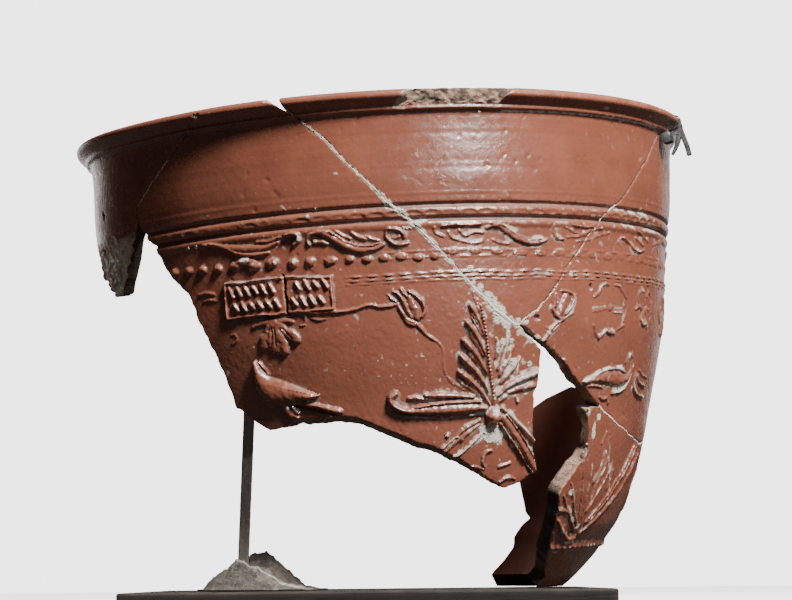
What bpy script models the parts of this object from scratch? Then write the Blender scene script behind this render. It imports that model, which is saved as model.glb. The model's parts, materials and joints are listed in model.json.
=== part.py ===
"""Fragment of an Arretine relief bowl, set up on a board with an iron prop.

The bowl is one body of revolution broken into sherds. Each sherd is drawn on a flat map of the
wall: x is the azimuth times MAP_R, y is the height up the wall, with the rim moulding unrolled
above LIP_FOOT. The map is cut into triangles, wrapped on the wall and given its thickness.
Lengths are in millimetres until they are written to a mesh; azimuth 0 faces -Y and 90 is +X.
"""

from math import atan2, ceil, cos, degrees, hypot, pi, radians, sin, sqrt

import bmesh
import bpy
from mathutils import Vector, geometry

MM = 0.001
MAP_R = 96.0
GAP = 0.3

# ---------------------------------------------------------------- board and where the bowl stands
BOARD = (158.0, 160.0, 16.0)
BOARD_BEVEL = 0.8
VASE_AXIS = (12.0, 15.0)
VASE_LEAN = 2.58
VASE_PITCH = 1.55

# ---------------------------------------------------------------- bowl: outer wall (height, radius)
WALL = [
    (-8.0, 46.0), (-4.0, 53.0), (0.0, 58.7), (2.7, 61.8), (6.1, 65.3), (9.5, 68.5), (12.8, 71.0),
    (16.2, 73.8), (19.6, 76.4), (23.0, 78.3), (26.5, 80.1), (29.9, 81.7), (33.4, 83.1),
    (36.8, 84.5), (43.8, 86.8), (50.8, 88.7), (57.8, 90.3), (64.8, 92.0), (71.7, 93.8),
    (78.7, 95.5), (85.8, 97.0), (96.5, 98.4), (107.1, 99.4), (117.8, 100.7), (124.9, 102.0),
    (132.0, 102.9), (139.0, 103.4), (146.5, 103.9), (152.9, 104.8),
]
LIP_FOOT = 152.9
# Rim moulding, unrolled: place on the map, radius, height.
LIP = [
    (152.9, 104.8, 152.9), (153.5, 106.0, 153.2), (154.1, 106.2, 153.9), (154.6, 107.1, 154.1),
    (155.2, 107.3, 154.9), (156.0, 108.3, 155.1), (157.0, 109.1, 155.9), (158.2, 109.4, 157.1),
    (159.4, 109.1, 158.4), (160.6, 108.0, 159.4), (162.2, 106.3, 159.7), (164.0, 104.6, 159.0),
]
LIP_TOP = 164.0
INNER_LIP = (103.4, 158.1)
THICK = [(-8.0, 5.5), (10.0, 6.0), (60.0, 5.8), (90.0, 5.2), (125.0, 4.8), (152.9, 4.7)]
# Wheel-cut lines and plain mouldings: (height, depth or rise), with straight runs between.
BANDS = [
    (124.6, 0.0), (124.1, -0.55), (123.6, 0.1), (120.3, 0.1), (119.6, -0.6), (119.0, 0.35),
    (117.9, 0.6), (116.7, 0.35), (116.2, 0.0),
]
LOW_BEADS = [(14.0, 0.0), (12.6, 1.0), (11.1, 0.0)]
KNOTS = [s for s, _ in BANDS] + [s for s, _ in LOW_BEADS] + [row[0] for row in LIP[:-1]]

# ---------------------------------------------------------------- joints and breaks (azimuth, height)
JOINT_A = [(-31.0, 164.0), (-33.5, 157.5), (-38.2, 151.3), (-41.5, 147.5), (-50.0, 137.0),
           (-55.0, 130.0)]
EDGE_FRONT_LEFT = [(-55.0, 130.0), (-52.1, 123.4), (-49.3, 118.6), (-47.8, 113.2), (-45.6, 107.8),
                   (-42.6, 103.4), (-41.2, 100.8), (-39.7, 93.0), (-38.0, 85.9), (-35.7, 75.5),
                   (-34.3, 63.4), (-32.7, 62.2), (-30.4, 58.8), (-27.4, 55.6), (-23.4, 55.9),
                   (-21.0, 58.2), (-12.0, 58.6), (-7.3, 57.0), (-2.6, 53.4), (3.5, 49.2),
                   (9.0, 46.0), (16.0, 40.2), (22.7, 33.4), (24.2, 32.4), (27.6, 34.8),
                   (31.3, 37.4)]
EDGE_FRONT_RIGHT = [(31.3, 37.4), (30.2, 45.5), (29.9, 53.0), (29.5, 62.8), (30.4, 65.4),
                    (30.4, 76.9)]
JOINT_B = [(-15.1, 154.0), (-10.1, 145.9), (-6.6, 138.6), (-2.9, 131.6), (1.1, 123.6),
           (5.8, 116.4), (10.1, 108.2), (13.9, 100.9), (17.7, 93.9), (20.8, 88.9), (25.0, 84.6)]
# The two corners of the rim at this joint, with a chip out of the left one.
CORNER_FRONT = [(-20.6, 164.0), (-19.3, 161.8), (-17.9, 159.0), (-16.8, 156.6), (-15.1, 154.0)]
CORNER_UPPER = [(-17.2, 164.0), (-16.9, 159.5), (-16.2, 156.4), (-15.1, 154.0)]
JOINT_B_LOW = [(25.0, 84.6), (27.6, 81.0), (30.4, 76.9)]
CRACK_C = [(79.0, 164.0), (76.5, 158.2), (73.5, 155.0), (66.5, 151.6), (60.5, 141.7),
           (52.5, 129.0), (46.0, 121.0), (41.0, 113.0), (37.1, 105.4), (34.4, 99.5),
           (29.5, 90.0), (25.0, 84.6)]
EDGE_RIGHT_OPEN = [(30.4, 76.9), (33.5, 75.0), (38.0, 70.5), (40.6, 66.6), (43.4, 64.4),
                   (48.5, 58.4)]
JOINT_D = [(48.5, 58.4), (51.7, 55.9), (54.0, 54.1), (58.0, 51.8), (62.0, 50.0), (66.0, 48.4),
           (70.0, 47.1), (76.0, 46.3), (84.0, 47.6), (94.0, 52.4), (104.0, 57.8), (113.0, 62.5)]
EDGE_BACK = [(113.0, 62.5), (116.5, 67.0), (114.2, 76.0), (115.8, 84.5), (112.0, 90.0),
             (109.6, 101.0), (110.8, 104.5), (106.8, 117.0), (107.6, 126.5), (103.0, 134.0),
             (103.8, 147.0), (102.2, 151.5), (102.6, 158.0), (101.0, 164.0)]
EDGE_LOW_BACK = [(113.0, 62.5), (121.0, 66.2), (129.0, 70.6), (137.0, 67.0), (141.5, 63.5),
                 (143.0, 50.0), (143.9, 36.0), (141.2, 28.0), (138.7, 22.0), (136.2, 18.8),
                 (138.2, 16.4), (139.4, 12.0), (138.0, 7.6), (139.4, 2.6), (141.0, -1.0)]
EDGE_LOW_FRONT = [(44.8, 57.9), (45.3, 52.5), (46.2, 49.5), (46.3, 45.5), (45.8, 41.0),
                  (43.9, 39.3), (42.4, 35.5), (40.6, 32.0), (40.0, 29.6), (41.0, 25.0),
                  (41.4, 21.0), (42.4, 16.5), (43.4, 13.0), (44.2, 10.0), (47.0, 6.0),
                  (51.0, 2.0)]
EDGE_LEFT_RIGHT = [(-55.0, 130.0), (-59.2, 123.5), (-63.2, 116.0), (-68.0, 107.2)]
EDGE_LEFT_LOW = [(-68.0, 107.2), (-72.6, 106.6), (-77.3, 109.6), (-81.5, 114.0), (-84.5, 119.5),
                 (-88.0, 124.5), (-93.5, 130.0), (-97.0, 136.5), (-101.5, 141.5),
                 (-100.0, 150.0), (-102.0, 157.0), (-101.0, 164.0)]
# The left end has sagged outwards: this much per millimetre below LEFT_HINGE.
LEFT_SWING, LEFT_HINGE, LEFT_FADE = 0.062, 149.0, (-46.0, -76.0)
# Where the break of the front sherd slopes: azimuth, shift of its inner edge up the wall.
UNDERCUT = [(-25.0, 0.0), (-20.0, -2.8), (0.0, -3.0), (12.0, -2.6), (22.0, -1.2), (26.0, 0.0)]
FOOT_AZIMUTHS = [(51.0, 141.0), 12]
# Spalled skin on the left sherd: from this height down the outer face is sunk and rough.
SPALL_TOP = 124.5
SPALL_DEPTH = 0.9
# The lip is chipped off at the front between these azimuths.
LIP_CHIP = (3.4, 21.4)
LIP_CHIP_RADIUS = 106.9

# ---------------------------------------------------------------- ornament (azimuth, height, half width)
# Each stroke: its rise, then the points of its middle line.
BIRD = [
    (1.9, [(-27.7, 78.3, 0.3), (-27.6, 76.2, 1.0), (-27.7, 74.0, 1.6), (-28.0, 71.6, 2.3)]),
    (2.4, [(-28.1, 72.2, 1.9), (-27.5, 69.4, 2.9), (-26.1, 67.2, 3.2), (-24.3, 65.3, 2.9),
           (-22.5, 63.8, 2.1), (-20.8, 62.9, 1.2)]),
    (2.6, [(-26.4, 71.2, 0.9), (-24.5, 69.7, 1.5), (-22.3, 68.3, 1.7), (-19.8, 67.3, 1.4),
           (-17.6, 66.6, 0.9), (-15.4, 66.0, 0.3)]),
    (1.5, [(-22.0, 63.7, 1.3), (-18.0, 62.6, 1.1), (-14.5, 61.3, 0.9), (-11.3, 59.9, 0.6)]),
]
FAN = [
    (1.1, [(-24.6, 89.0, 0.9), (-25.2, 86.0, 1.3), (-25.1, 81.8, 1.0)]),
    (1.1, [(-23.6, 89.0, 0.8), (-23.5, 85.5, 1.2), (-23.2, 81.0, 0.9)]),
    (1.2, [(-22.4, 88.8, 0.8), (-21.8, 85.0, 1.3), (-21.1, 80.0, 0.9)]),
    (0.9, [(-21.2, 88.4, 0.7), (-20.1, 85.4, 1.0), (-19.0, 82.0, 0.6)]),
    (1.0, [(-20.3, 88.2, 0.6), (-18.8, 86.0, 0.9), (-17.0, 82.6, 0.7)]),
]
STAR = [
    (1.2, [(17.0, 92.0, 0.5), (18.0, 84.0, 0.9), (18.7, 77.0, 1.0), (19.4, 69.0, 1.0),
           (20.1, 60.5, 0.9)]),
    (1.0, [(14.9, 91.5, 0.5), (15.6, 88.8, 0.8), (16.4, 85.8, 0.7), (17.3, 82.4, 0.3)]),
    (1.0, [(14.1, 85.9, 0.5), (15.0, 83.8, 0.9), (16.1, 81.0, 0.8), (17.5, 77.2, 0.4)]),
    (1.0, [(13.5, 80.1, 0.5), (14.5, 78.0, 0.9), (15.8, 75.5, 0.8), (17.8, 71.8, 0.4)]),
    (1.1, [(13.0, 75.8, 0.6), (14.1, 74.4, 1.0), (15.4, 71.9, 0.9), (18.2, 66.8, 0.4)]),
    (1.1, [(12.8, 70.7, 0.5), (14.1, 69.0, 1.0), (15.7, 66.8, 0.9), (18.6, 62.6, 0.4)]),
    (0.7, [(22.8, 79.8, 0.5), (22.1, 75.8, 0.7), (21.0, 70.5, 0.6)]),
    (0.7, [(25.5, 73.7, 0.5), (23.6, 70.6, 0.8), (21.7, 66.4, 0.6)]),
    (0.8, [(29.3, 69.2, 0.7), (26.0, 67.2, 0.9), (21.4, 62.8, 0.6)]),
    (1.8, [(18.2, 57.8, 0.9), (15.0, 58.8, 1.6), (12.0, 59.3, 1.9), (9.0, 59.3, 1.9),
           (6.0, 59.2, 1.6), (3.4, 58.9, 1.2), (1.4, 59.3, 1.1), (0.0, 60.5, 1.1),
           (-0.8, 62.0, 1.1), (-0.6, 63.5, 1.1), (0.3, 64.4, 0.7)]),
    (1.2, [(15.5, 62.4, 0.5), (12.0, 62.8, 0.9), (8.5, 63.0, 1.0), (6.0, 63.4, 0.7),
           (2.8, 62.8, 0.4)]),
    (0.8, [(17.4, 54.2, 0.7), (14.4, 51.4, 1.1), (11.6, 48.6, 1.1), (9.4, 46.0, 0.5)]),
    (0.8, [(17.5, 50.0, 0.5), (15.5, 47.5, 0.6), (12.4, 44.4, 0.5)]),
    (1.2, [(22.3, 58.2, 0.7), (24.8, 55.8, 1.1), (27.2, 52.9, 1.1), (29.2, 50.2, 0.6)]),
    (1.8, [(22.0, 56.0, 1.3), (24.4, 52.6, 1.9), (27.0, 48.0, 2.1), (29.0, 43.8, 1.8),
           (30.3, 40.4, 1.0)]),
]
SCROLLS = [
    (0.7, [(-33.0, 115.4, 0.5), (-30.0, 113.8, 0.9), (-26.0, 113.0, 0.8), (-22.0, 113.0, 0.7),
           (-19.5, 114.6, 0.6), (-17.6, 115.6, 0.8)]),
    (0.9, [(-17.4, 115.4, 0.7), (-16.2, 115.4, 0.9), (-16.0, 113.9, 0.7)]),
    (0.9, [(-13.6, 113.4, 0.6), (-13.4, 115.2, 0.8), (-12.0, 115.6, 0.9), (-10.0, 114.2, 1.1),
           (-8.0, 112.3, 1.1), (-6.0, 111.0, 1.1), (-4.0, 110.6, 1.0), (-1.4, 111.4, 0.7)]),
    (0.9, [(3.2, 114.6, 0.6), (1.6, 115.4, 0.9), (0.5, 114.2, 0.9), (1.1, 112.4, 0.9),
           (3.0, 111.6, 0.6)]),
    (0.7, [(10.2, 115.0, 0.5), (14.0, 115.3, 0.8), (18.0, 115.4, 0.8), (20.6, 115.2, 1.0),
           (23.0, 113.8, 1.1), (26.0, 112.2, 1.1), (29.0, 111.6, 0.9), (31.4, 112.2, 0.5)]),
    (0.6, [(33.0, 115.8, 0.5), (33.2, 114.0, 0.7), (35.0, 112.8, 0.7), (38.0, 113.8, 0.7),
           (41.0, 114.8, 0.7), (45.0, 114.4, 0.5)]),
    (0.8, [(50.6, 112.6, 0.5), (51.4, 113.9, 0.8), (53.4, 113.6, 0.9), (55.4, 112.0, 1.0),
           (57.6, 110.8, 0.9), (60.6, 111.2, 0.6)]),
    (0.7, [(58.0, 115.0, 0.5), (60.4, 114.0, 0.7), (63.0, 113.2, 0.5)]),
]
BUDS = [
    (0.9, [(3.2, 96.4, 0.6), (3.6, 93.0, 1.4), (4.2, 89.6, 1.5), (4.7, 86.8, 0.8)]),
    (0.9, [(4.6, 95.4, 0.5), (5.9, 92.0, 0.8), (6.0, 88.8, 0.6)]),
    (0.8, [(36.4, 95.2, 0.7), (35.4, 92.4, 1.4), (34.6, 89.6, 1.5), (34.0, 86.6, 0.8)]),
    (0.7, [(37.2, 88.0, 0.5), (34.6, 85.6, 0.6), (32.6, 82.6, 0.6), (30.9, 79.6, 0.4)]),
]
RIGHT_BIRD = [
    (1.3, [(43.0, 66.4, 0.7), (46.0, 67.4, 1.5), (49.5, 67.8, 2.5), (53.0, 67.4, 3.1),
           (56.0, 67.6, 2.5), (58.0, 69.0, 1.6), (59.2, 71.4, 1.2), (58.4, 73.8, 0.8)]),
    (0.9, [(51.8, 58.6, 0.5), (50.6, 61.4, 0.9), (49.2, 63.8, 0.6)]),
    (1.0, [(61.5, 68.4, 0.6), (61.8, 66.2, 0.8), (63.4, 63.9, 0.8), (67.0, 62.4, 0.5)]),
    (0.9, [(62.8, 68.8, 0.5), (65.6, 66.4, 0.7), (70.0, 65.4, 0.5)]),
]
CALYX = [
    (1.1, [(54.0, 23.0, 0.6), (58.0, 28.4, 1.0), (62.0, 34.4, 1.0), (66.0, 41.8, 0.9),
           (69.4, 46.0, 0.4)]),
    (1.2, [(52.8, 17.2, 0.8), (57.0, 21.0, 1.2), (61.0, 25.2, 1.2), (66.0, 31.0, 1.1),
           (71.0, 38.0, 0.9), (75.0, 43.0, 0.4)]),
    (1.1, [(50.0, 19.4, 0.9), (52.0, 27.0, 1.2), (52.6, 34.0, 1.2), (53.2, 40.4, 1.0),
           (53.4, 44.4, 0.5)]),
    (0.9, [(48.6, 20.0, 0.9), (46.6, 26.0, 1.1), (45.6, 32.0, 1.0), (46.2, 38.4, 0.6)]),
    (0.9, [(47.6, 18.4, 0.8), (44.6, 22.6, 1.0), (42.2, 25.6, 0.5)]),
    (0.9, [(51.0, 18.0, 0.8), (47.4, 16.4, 0.9), (43.8, 19.4, 0.5)]),
]
FAR_SIDE = [
    (0.9, [(78.0, 20.0, 0.9), (76.0, 29.0, 1.1), (78.0, 37.0, 0.5)]),
    (0.9, [(83.0, 18.0, 0.9), (88.0, 28.0, 1.2), (96.0, 38.0, 0.5)]),
    (0.9, [(86.0, 17.4, 0.9), (96.0, 24.0, 1.2), (108.0, 33.0, 0.5)]),
]
STROKES = BIRD + FAN + STAR + SCROLLS + BUDS + RIGHT_BIRD + CALYX + FAR_SIDE
# Round bosses and beads: azimuth, height, half width across and up, rise.
STAR_BOSS = (20.1, 56.0, 2.9, 3.1, 2.9)
ROSETTES = [(48.7, 89.6), (62.8, 90.6), (79.0, 90.2), (95.0, 90.0)]
ROSETTE_R, ROSETTE_PETALS, ROSETTE_RISE = 8.0, 8, 0.5
BEAD_ROW = 108.3
BEADS_LEFT = [-40.8, -37.0, -33.2, -29.4, -25.5, -21.7, -17.9, -14.2, -10.5, -7.0, -3.8, -0.7]
BEADS_RIGHT = [14.6, 18.9, 23.2, 27.5, 31.8, 45.6, 50.0, 54.4, 58.8, 63.2, 67.6, 72.0]
BEAD_SIZE = (1.9, 1.25, 0.9)
# Name stamp: a raised field with a rim; its strokes are marks, not letters.
STAMP = (-32.3, -10.0, 92.4, 103.7)
STAMP_RISE, STAMP_FRAME, STAMP_EDGE = 0.6, 0.55, 1.1
STAMP_MARKS = [(-30.4, -1.2), (-27.6, -1.0), (-24.9, 0.0), (-22.4, 0.0), (-17.2, 0.0),
               (-14.4, 0.9), (-12.0, 0.9)]
# Thin moulded double line above the picture zone.
TWIN_LINE = (101.2, 0.4, 0.35)

# ---------------------------------------------------------------- prop, clay, tie
ROD_SIZE = (3.6, 1.9, 90.0)
ROD_FOOT = (-54.6, -46.0, 3.4)
ROD_TILT = (20.6, 3.9)
CLAY_CENTRE = (-50.5, -46.0)
CLAY_BASE = (18.3, 16.0)
CLAY_PEAKS = [(-56.2, -50.5, 9.3, 10.5), (-48.4, -43.0, 12.0, 11.5)]
TIE_WIDTH = 1.9
# Azimuth, radius, height and thickness along each strip, over the rim from the inside out.
TIE_OVER = [(76.0, 98.9, 150.8, 0.5), (76.0, 101.4, 155.6, 0.5), (75.8, 102.7, 158.4, 0.35),
            (75.4, 104.1, 159.75, 0.3), (74.8, 106.4, 160.2, 0.3), (74.0, 108.5, 159.8, 0.3),
            (73.2, 109.7, 158.4, 0.4), (72.6, 110.0, 156.8, 0.6), (72.2, 110.1, 155.2, 1.0),
            (72.0, 110.5, 153.2, 1.5), (72.0, 111.2, 150.6, 1.6), (72.0, 112.1, 147.6, 1.6),
            (72.0, 112.6, 144.9, 1.5)]
TIE_TAIL = [(71.7, 110.1, 156.4, 0.9), (71.4, 110.0, 153.8, 1.5), (71.2, 109.5, 151.0, 1.6),
            (71.0, 108.5, 148.0, 1.3), (70.9, 107.0, 145.3, 0.7)]
TIE_BAND = [(68.4, 106.9, 151.5, 1.1), (69.8, 107.8, 152.2, 1.1), (71.4, 109.8, 153.4, 1.2)]
TIE_KNOT = ((68.2, 106.8, 150.6), (2.9, 4.8, 3.8))


def clear_scene():
    for obj in list(bpy.data.objects):
        bpy.data.objects.remove(obj, do_unlink=True)


# ---------------------------------------------------------------- reading the profile
def between(table, at, column=1):
    """The value at this place of a table of rows that climb in their first column."""
    if at <= table[0][0]:
        return table[0][column]
    for low, high in zip(table, table[1:]):
        if at <= high[0]:
            share = (at - low[0]) / (high[0] - low[0])
            return low[column] + share * (high[column] - low[column])
    return table[-1][column]


def outer_point(s):
    """Radius and height of the outer face at this place on the map."""
    if s <= LIP_FOOT:
        return between(WALL, s), s
    return between(LIP, s, 1), between(LIP, s, 2)


def outward(s):
    """The way out of the wall, as radial and upward shares."""
    step = 1.5 if s < LIP_FOOT - 2.0 else 0.3
    low_r, low_z = outer_point(s - step)
    high_r, high_z = outer_point(min(s + step, LIP_TOP))
    run = hypot(high_r - low_r, high_z - low_z)
    return (high_z - low_z) / run, -(high_r - low_r) / run


def swing(x, s):
    """How far the left end has moved out."""
    high, low = LEFT_FADE
    share = min(1.0, max(0.0, (degrees(x / MAP_R) - high) / (low - high)))
    return LEFT_SWING * max(0.0, LEFT_HINGE - s) * share * share * (3.0 - 2.0 * share)


def undercut(x, s):
    return between(UNDERCUT, degrees(x / MAP_R)) if s < 62.0 else 0.0


def inner_point(s):
    """Radius and height of the inner face: the wall's thickness in, and straight under the lip."""
    if s <= LIP_FOOT - 3.0:
        radius, height = outer_point(s)
        out, up = outward(s)
        thick = between(THICK, s)
        return radius - thick * out, height - thick * up
    foot_r, foot_z = inner_point(LIP_FOOT - 3.0)
    share = (s - LIP_FOOT + 3.0) / (LIP_TOP - LIP_FOOT + 3.0)
    return (foot_r + share * (INNER_LIP[0] - foot_r),
            foot_z + share * (INNER_LIP[1] - foot_z))


def wrapped(x, radius, height):
    turn = x / MAP_R
    return Vector((radius * sin(turn), -radius * cos(turn), height)) * MM


# ---------------------------------------------------------------- relief
def to_map(point):
    return (radians(point[0]) * MAP_R, point[1]) + tuple(point[2:])


def stroke_rise(x, y, rise, line):
    """Height of a stroke: full on its middle line, nothing at its edge."""
    best = 0.0
    for (ax, ay, aw), (bx, by, bw) in zip(line, line[1:]):
        run = (bx - ax) ** 2 + (by - ay) ** 2
        share = min(1.0, max(0.0, ((x - ax) * (bx - ax) + (y - ay) * (by - ay)) / run))
        wide = aw + share * (bw - aw)
        away = hypot(x - ax - share * (bx - ax), y - ay - share * (by - ay))
        if away < wide:
            slim = min(1.0, 0.45 + 0.55 * wide / 1.4)
            best = max(best, rise * slim * sqrt(1.0 - (away / wide) ** 2))
    return best


def stamp_rise(x, y):
    left, right = radians(STAMP[0]) * MAP_R, radians(STAMP[1]) * MAP_R
    inside = min(x - left, right - x, y - STAMP[2], STAMP[3] - y)
    if inside <= 0.0:
        return 0.0
    return min(1.0, inside / 0.4) * (STAMP_RISE + (STAMP_FRAME if inside < STAMP_EDGE else 0.0))


def petal_radius(turn):
    return ROSETTE_R * (0.88 + 0.12 * abs(cos(turn * ROSETTE_PETALS / 2)))


class Relief:
    """All the raised work, on the map."""

    def __init__(self):
        self.strokes = [(rise, eased([to_map(p) for p in line])) for rise, line in STROKES]
        for azimuth, lean in STAMP_MARKS:
            low, high = STAMP[2] + 2.2, STAMP[3] - 2.4
            line = [(azimuth - lean, high, 0.6), (azimuth + lean, low, 0.6)]
            self.strokes.append((STAMP_RISE + 0.5, [to_map(p) for p in line]))
        self.domes = [self.dome(*STAR_BOSS)]
        for azimuth in BEADS_LEFT + BEADS_RIGHT:
            self.domes.append(self.dome(azimuth, BEAD_ROW, *BEAD_SIZE))
        for azimuth, height in ROSETTES:
            self.domes.append(self.dome(azimuth, height, 1.4, 1.4, 0.8))

    @staticmethod
    def dome(azimuth, height, wide, tall, rise):
        return radians(azimuth) * MAP_R, height, wide, tall, rise

    def rise(self, x, y):
        raised = stamp_rise(x, y)
        for rise, line in self.strokes:
            if min(p[0] for p in line) - 4 < x < max(p[0] for p in line) + 4:
                raised = max(raised, stroke_rise(x, y, rise, line))
        for cx, cy, wide, tall, rise in self.domes:
            away = ((x - cx) / wide) ** 2 + ((y - cy) / tall) ** 2
            if away < 1.0:
                raised = max(raised, rise * sqrt(1.0 - away))
        for azimuth, height in ROSETTES:
            dx, dy = x - radians(azimuth) * MAP_R, y - height
            away = hypot(dx, dy)
            if away < ROSETTE_R:
                rim = petal_radius(atan2(dy, dx))
                raised = max(raised, ROSETTE_RISE * min(1.0, max(0.0, (rim - away) / 0.8)))
        line_y, line_w, line_h = TWIN_LINE
        if abs(y - line_y) < line_w and x > radians(-8.0) * MAP_R:
            raised = max(raised, line_h)
        for table in (BANDS[::-1], LOW_BEADS[::-1]):
            if table[0][0] < y < table[-1][0]:
                raised += between(table, y)
        return raised - self.lost(x, y)

    @staticmethod
    def lost(x, y):
        """What has flaked off the face at the lower left."""
        azimuth = degrees(x / MAP_R)
        if azimuth < -55.0 and y < SPALL_TOP:
            return SPALL_DEPTH * min(1.0, (SPALL_TOP - y) / 4.0)
        return 0.0

    @staticmethod
    def chipped(x, y, radius):
        """The radius, cut back where the lip has lost its edge."""
        low, high = LIP_CHIP
        azimuth = degrees(x / MAP_R)
        if y < LIP_FOOT or not low < azimuth < high:
            return radius
        share = min(1.0, (azimuth - low) / 1.2, (high - azimuth) / 1.2)
        return min(radius, radius + share * (LIP_CHIP_RADIUS - radius))

    def outlines(self):
        """Closed and open lines that the triangles must follow."""
        lines = []
        for _, line in self.strokes:
            lines.append((stroke_outline(line, 1.0), True))
            if max(p[2] for p in line) > 1.7:
                lines.append((stroke_outline(line, 0.6), True))
            lines.append(([p[:2] for p in line], False))
        for cx, cy, wide, tall, rise in self.domes:
            for share in ((1.0, 0.62) if rise > 1.5 else (1.0,)):
                count = 12 if rise > 1.5 else 6
                ring = [(cx + share * wide * cos(2 * pi * i / count),
                         cy + share * tall * sin(2 * pi * i / count)) for i in range(count)]
                lines.append((ring, True))
            lines.append(([(cx, cy)], False))
        for azimuth, height in ROSETTES:
            lines.extend(rosette_lines(radians(azimuth) * MAP_R, height))
        left, right = radians(STAMP[0]) * MAP_R, radians(STAMP[1]) * MAP_R
        for inset in (0.0, 0.4, STAMP_EDGE - 0.01, STAMP_EDGE + 0.35):
            corners = box_line(left, right, STAMP[2], STAMP[3], inset)
            lines.append((eased(corners + corners[:1])[:-1], True))
        return lines


def eased(line, longest=6.0):
    """The line with points added so that no side is long."""
    result = [line[0]]
    for one, two in zip(line, line[1:]):
        count = max(1, int(ceil(hypot(two[0] - one[0], two[1] - one[1]) / longest)))
        for i in range(1, count + 1):
            result.append(tuple(a + (b - a) * i / count for a, b in zip(one, two)))
    return result


def box_line(left, right, low, high, inset):
    return [(left + inset, low + inset), (right - inset, low + inset),
            (right - inset, high - inset), (left + inset, high - inset)]


def rosette_lines(cx, cy):
    outer, inner = [], []
    count = ROSETTE_PETALS * 3
    for i in range(count):
        turn = 2 * pi * i / count
        far = petal_radius(turn)
        outer.append((cx + far * cos(turn), cy + far * sin(turn)))
        inner.append((cx + (far - 0.8) * cos(turn), cy + (far - 0.8) * sin(turn)))
    return [(outer, True), (inner, True)]


def stroke_outline(line, share):
    """The edge of a stroke, down one side and back up the other."""
    left, right = [], []
    for i, (x, y, wide) in enumerate(line):
        ax, ay = line[max(0, i - 1)][:2]
        bx, by = line[min(len(line) - 1, i + 1)][:2]
        run = hypot(bx - ax, by - ay)
        nx, ny = -(by - ay) / run * wide * share, (bx - ax) / run * wide * share
        left.append((x + nx, y + ny))
        right.append((x - nx, y - ny))
    return left + right[::-1]


# ---------------------------------------------------------------- outlines on the map
def joined(*runs):
    """One closed outline from runs that end where the next begins."""
    points = []
    for run in runs:
        points.extend(p for p in run if not points or hypot(p[0] - points[-1][0],
                                                            p[1] - points[-1][1]) > 0.05)
    if hypot(points[0][0] - points[-1][0], points[0][1] - points[-1][1]) < 0.05:
        points.pop()
    return [to_map(p) for p in points]


def rim_run(start, end, step=5.0):
    count = max(1, int(ceil(abs(end - start) / step)))
    return [(start + (end - start) * i / count, LIP_TOP) for i in range(count + 1)]


def foot_run():
    """The lower break of the lowest sherd, which lies on the board."""
    (start, end), count = FOOT_AZIMUTHS
    lean, pitch = radians(VASE_LEAN), radians(VASE_PITCH)
    points = []
    for i in range(count + 1):
        azimuth = start + (end - start) * i / count
        turn, height = radians(azimuth), 0.0
        for _ in range(4):
            radius = between(WALL, height)
            height = GAP - lean * radius * sin(turn) + pitch * radius * cos(turn)
        points.append((azimuth, height))
    return points


def area(points):
    return sum(a[0] * b[1] - b[0] * a[1] for a, b in zip(points, points[1:] + points[:1])) / 2


def inset(points, by):
    """The outline drawn in by this much, so that neighbours keep a gap."""
    if area(points) < 0:
        points = points[::-1]
    moved = []
    for i, (x, y) in enumerate(points):
        ax, ay = points[i - 1]
        bx, by_ = points[(i + 1) % len(points)]
        ux, uy = (x - ax) / hypot(x - ax, y - ay), (y - ay) / hypot(x - ax, y - ay)
        vx, vy = (bx - x) / hypot(bx - x, by_ - y), (by_ - y) / hypot(bx - x, by_ - y)
        nx, ny = -(uy + vy), ux + vx
        long = hypot(nx, ny)
        half = max(0.5, (nx * -uy + ny * ux) / long)
        shift = 0.0 if y > LIP_TOP - 0.01 and abs(ny) / long > 0.999 else by / half
        top = y > LIP_TOP - 0.01
        moved.append((x + nx / long * shift, y if top else y + ny / long * shift))
    return moved


def knotted(points, longest=7.0):
    """The outline with a point wherever it crosses a moulding, and no long sides."""
    result = []
    for (ax, ay), (bx, by) in zip(points, points[1:] + points[:1]):
        shares = {0.0}
        for knot in KNOTS:
            if min(ay, by) + 0.02 < knot < max(ay, by) - 0.02:
                shares.add((knot - ay) / (by - ay))
        marks = sorted(shares) + [1.0]
        for low, high in zip(marks, marks[1:]):
            length = (high - low) * hypot(bx - ax, by - ay)
            count = max(1, int(ceil(length / longest)))
            for i in range(count):
                share = low + (high - low) * i / count
                result.append((ax + share * (bx - ax), ay + share * (by - ay)))
    return result


def inside(x, y, outline):
    odd = False
    for (ax, ay), (bx, by) in zip(outline, outline[1:] + outline[:1]):
        if (ay > y) != (by > y) and x < ax + (y - ay) / (by - ay) * (bx - ax):
            odd = not odd
    return odd


def clearance(x, y, outline):
    """Distance to the outline."""
    best = 1e9
    for (ax, ay), (bx, by) in zip(outline, outline[1:] + outline[:1]):
        run = (bx - ax) ** 2 + (by - ay) ** 2
        share = min(1.0, max(0.0, ((x - ax) * (bx - ax) + (y - ay) * (by - ay)) / run))
        best = min(best, hypot(x - ax - share * (bx - ax), y - ay - share * (by - ay)))
    return best


def crosses(a, b, outline):
    """Whether a short line leaves the outline: its middle points are looked at."""
    for i in range(1, 4):
        x, y = a[0] + (b[0] - a[0]) * i / 4, a[1] + (b[1] - a[1]) * i / 4
        if not inside(x, y, outline) or clearance(x, y, outline) < 0.2:
            return True
    return False


# ---------------------------------------------------------------- from map to solid
def grid_points(outline, columns, rows):
    """Points of a plain grid inside the outline, with the rows as lines."""
    found, lines = [], []
    for y in rows:
        run = []
        for x in columns:
            if inside(x, y, outline) and clearance(x, y, outline) > 0.9:
                run.append(len(found))
                found.append((x, y))
            else:
                if len(run) > 1:
                    lines.append(run)
                run = []
        if len(run) > 1:
            lines.append(run)
    return found, lines


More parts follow.
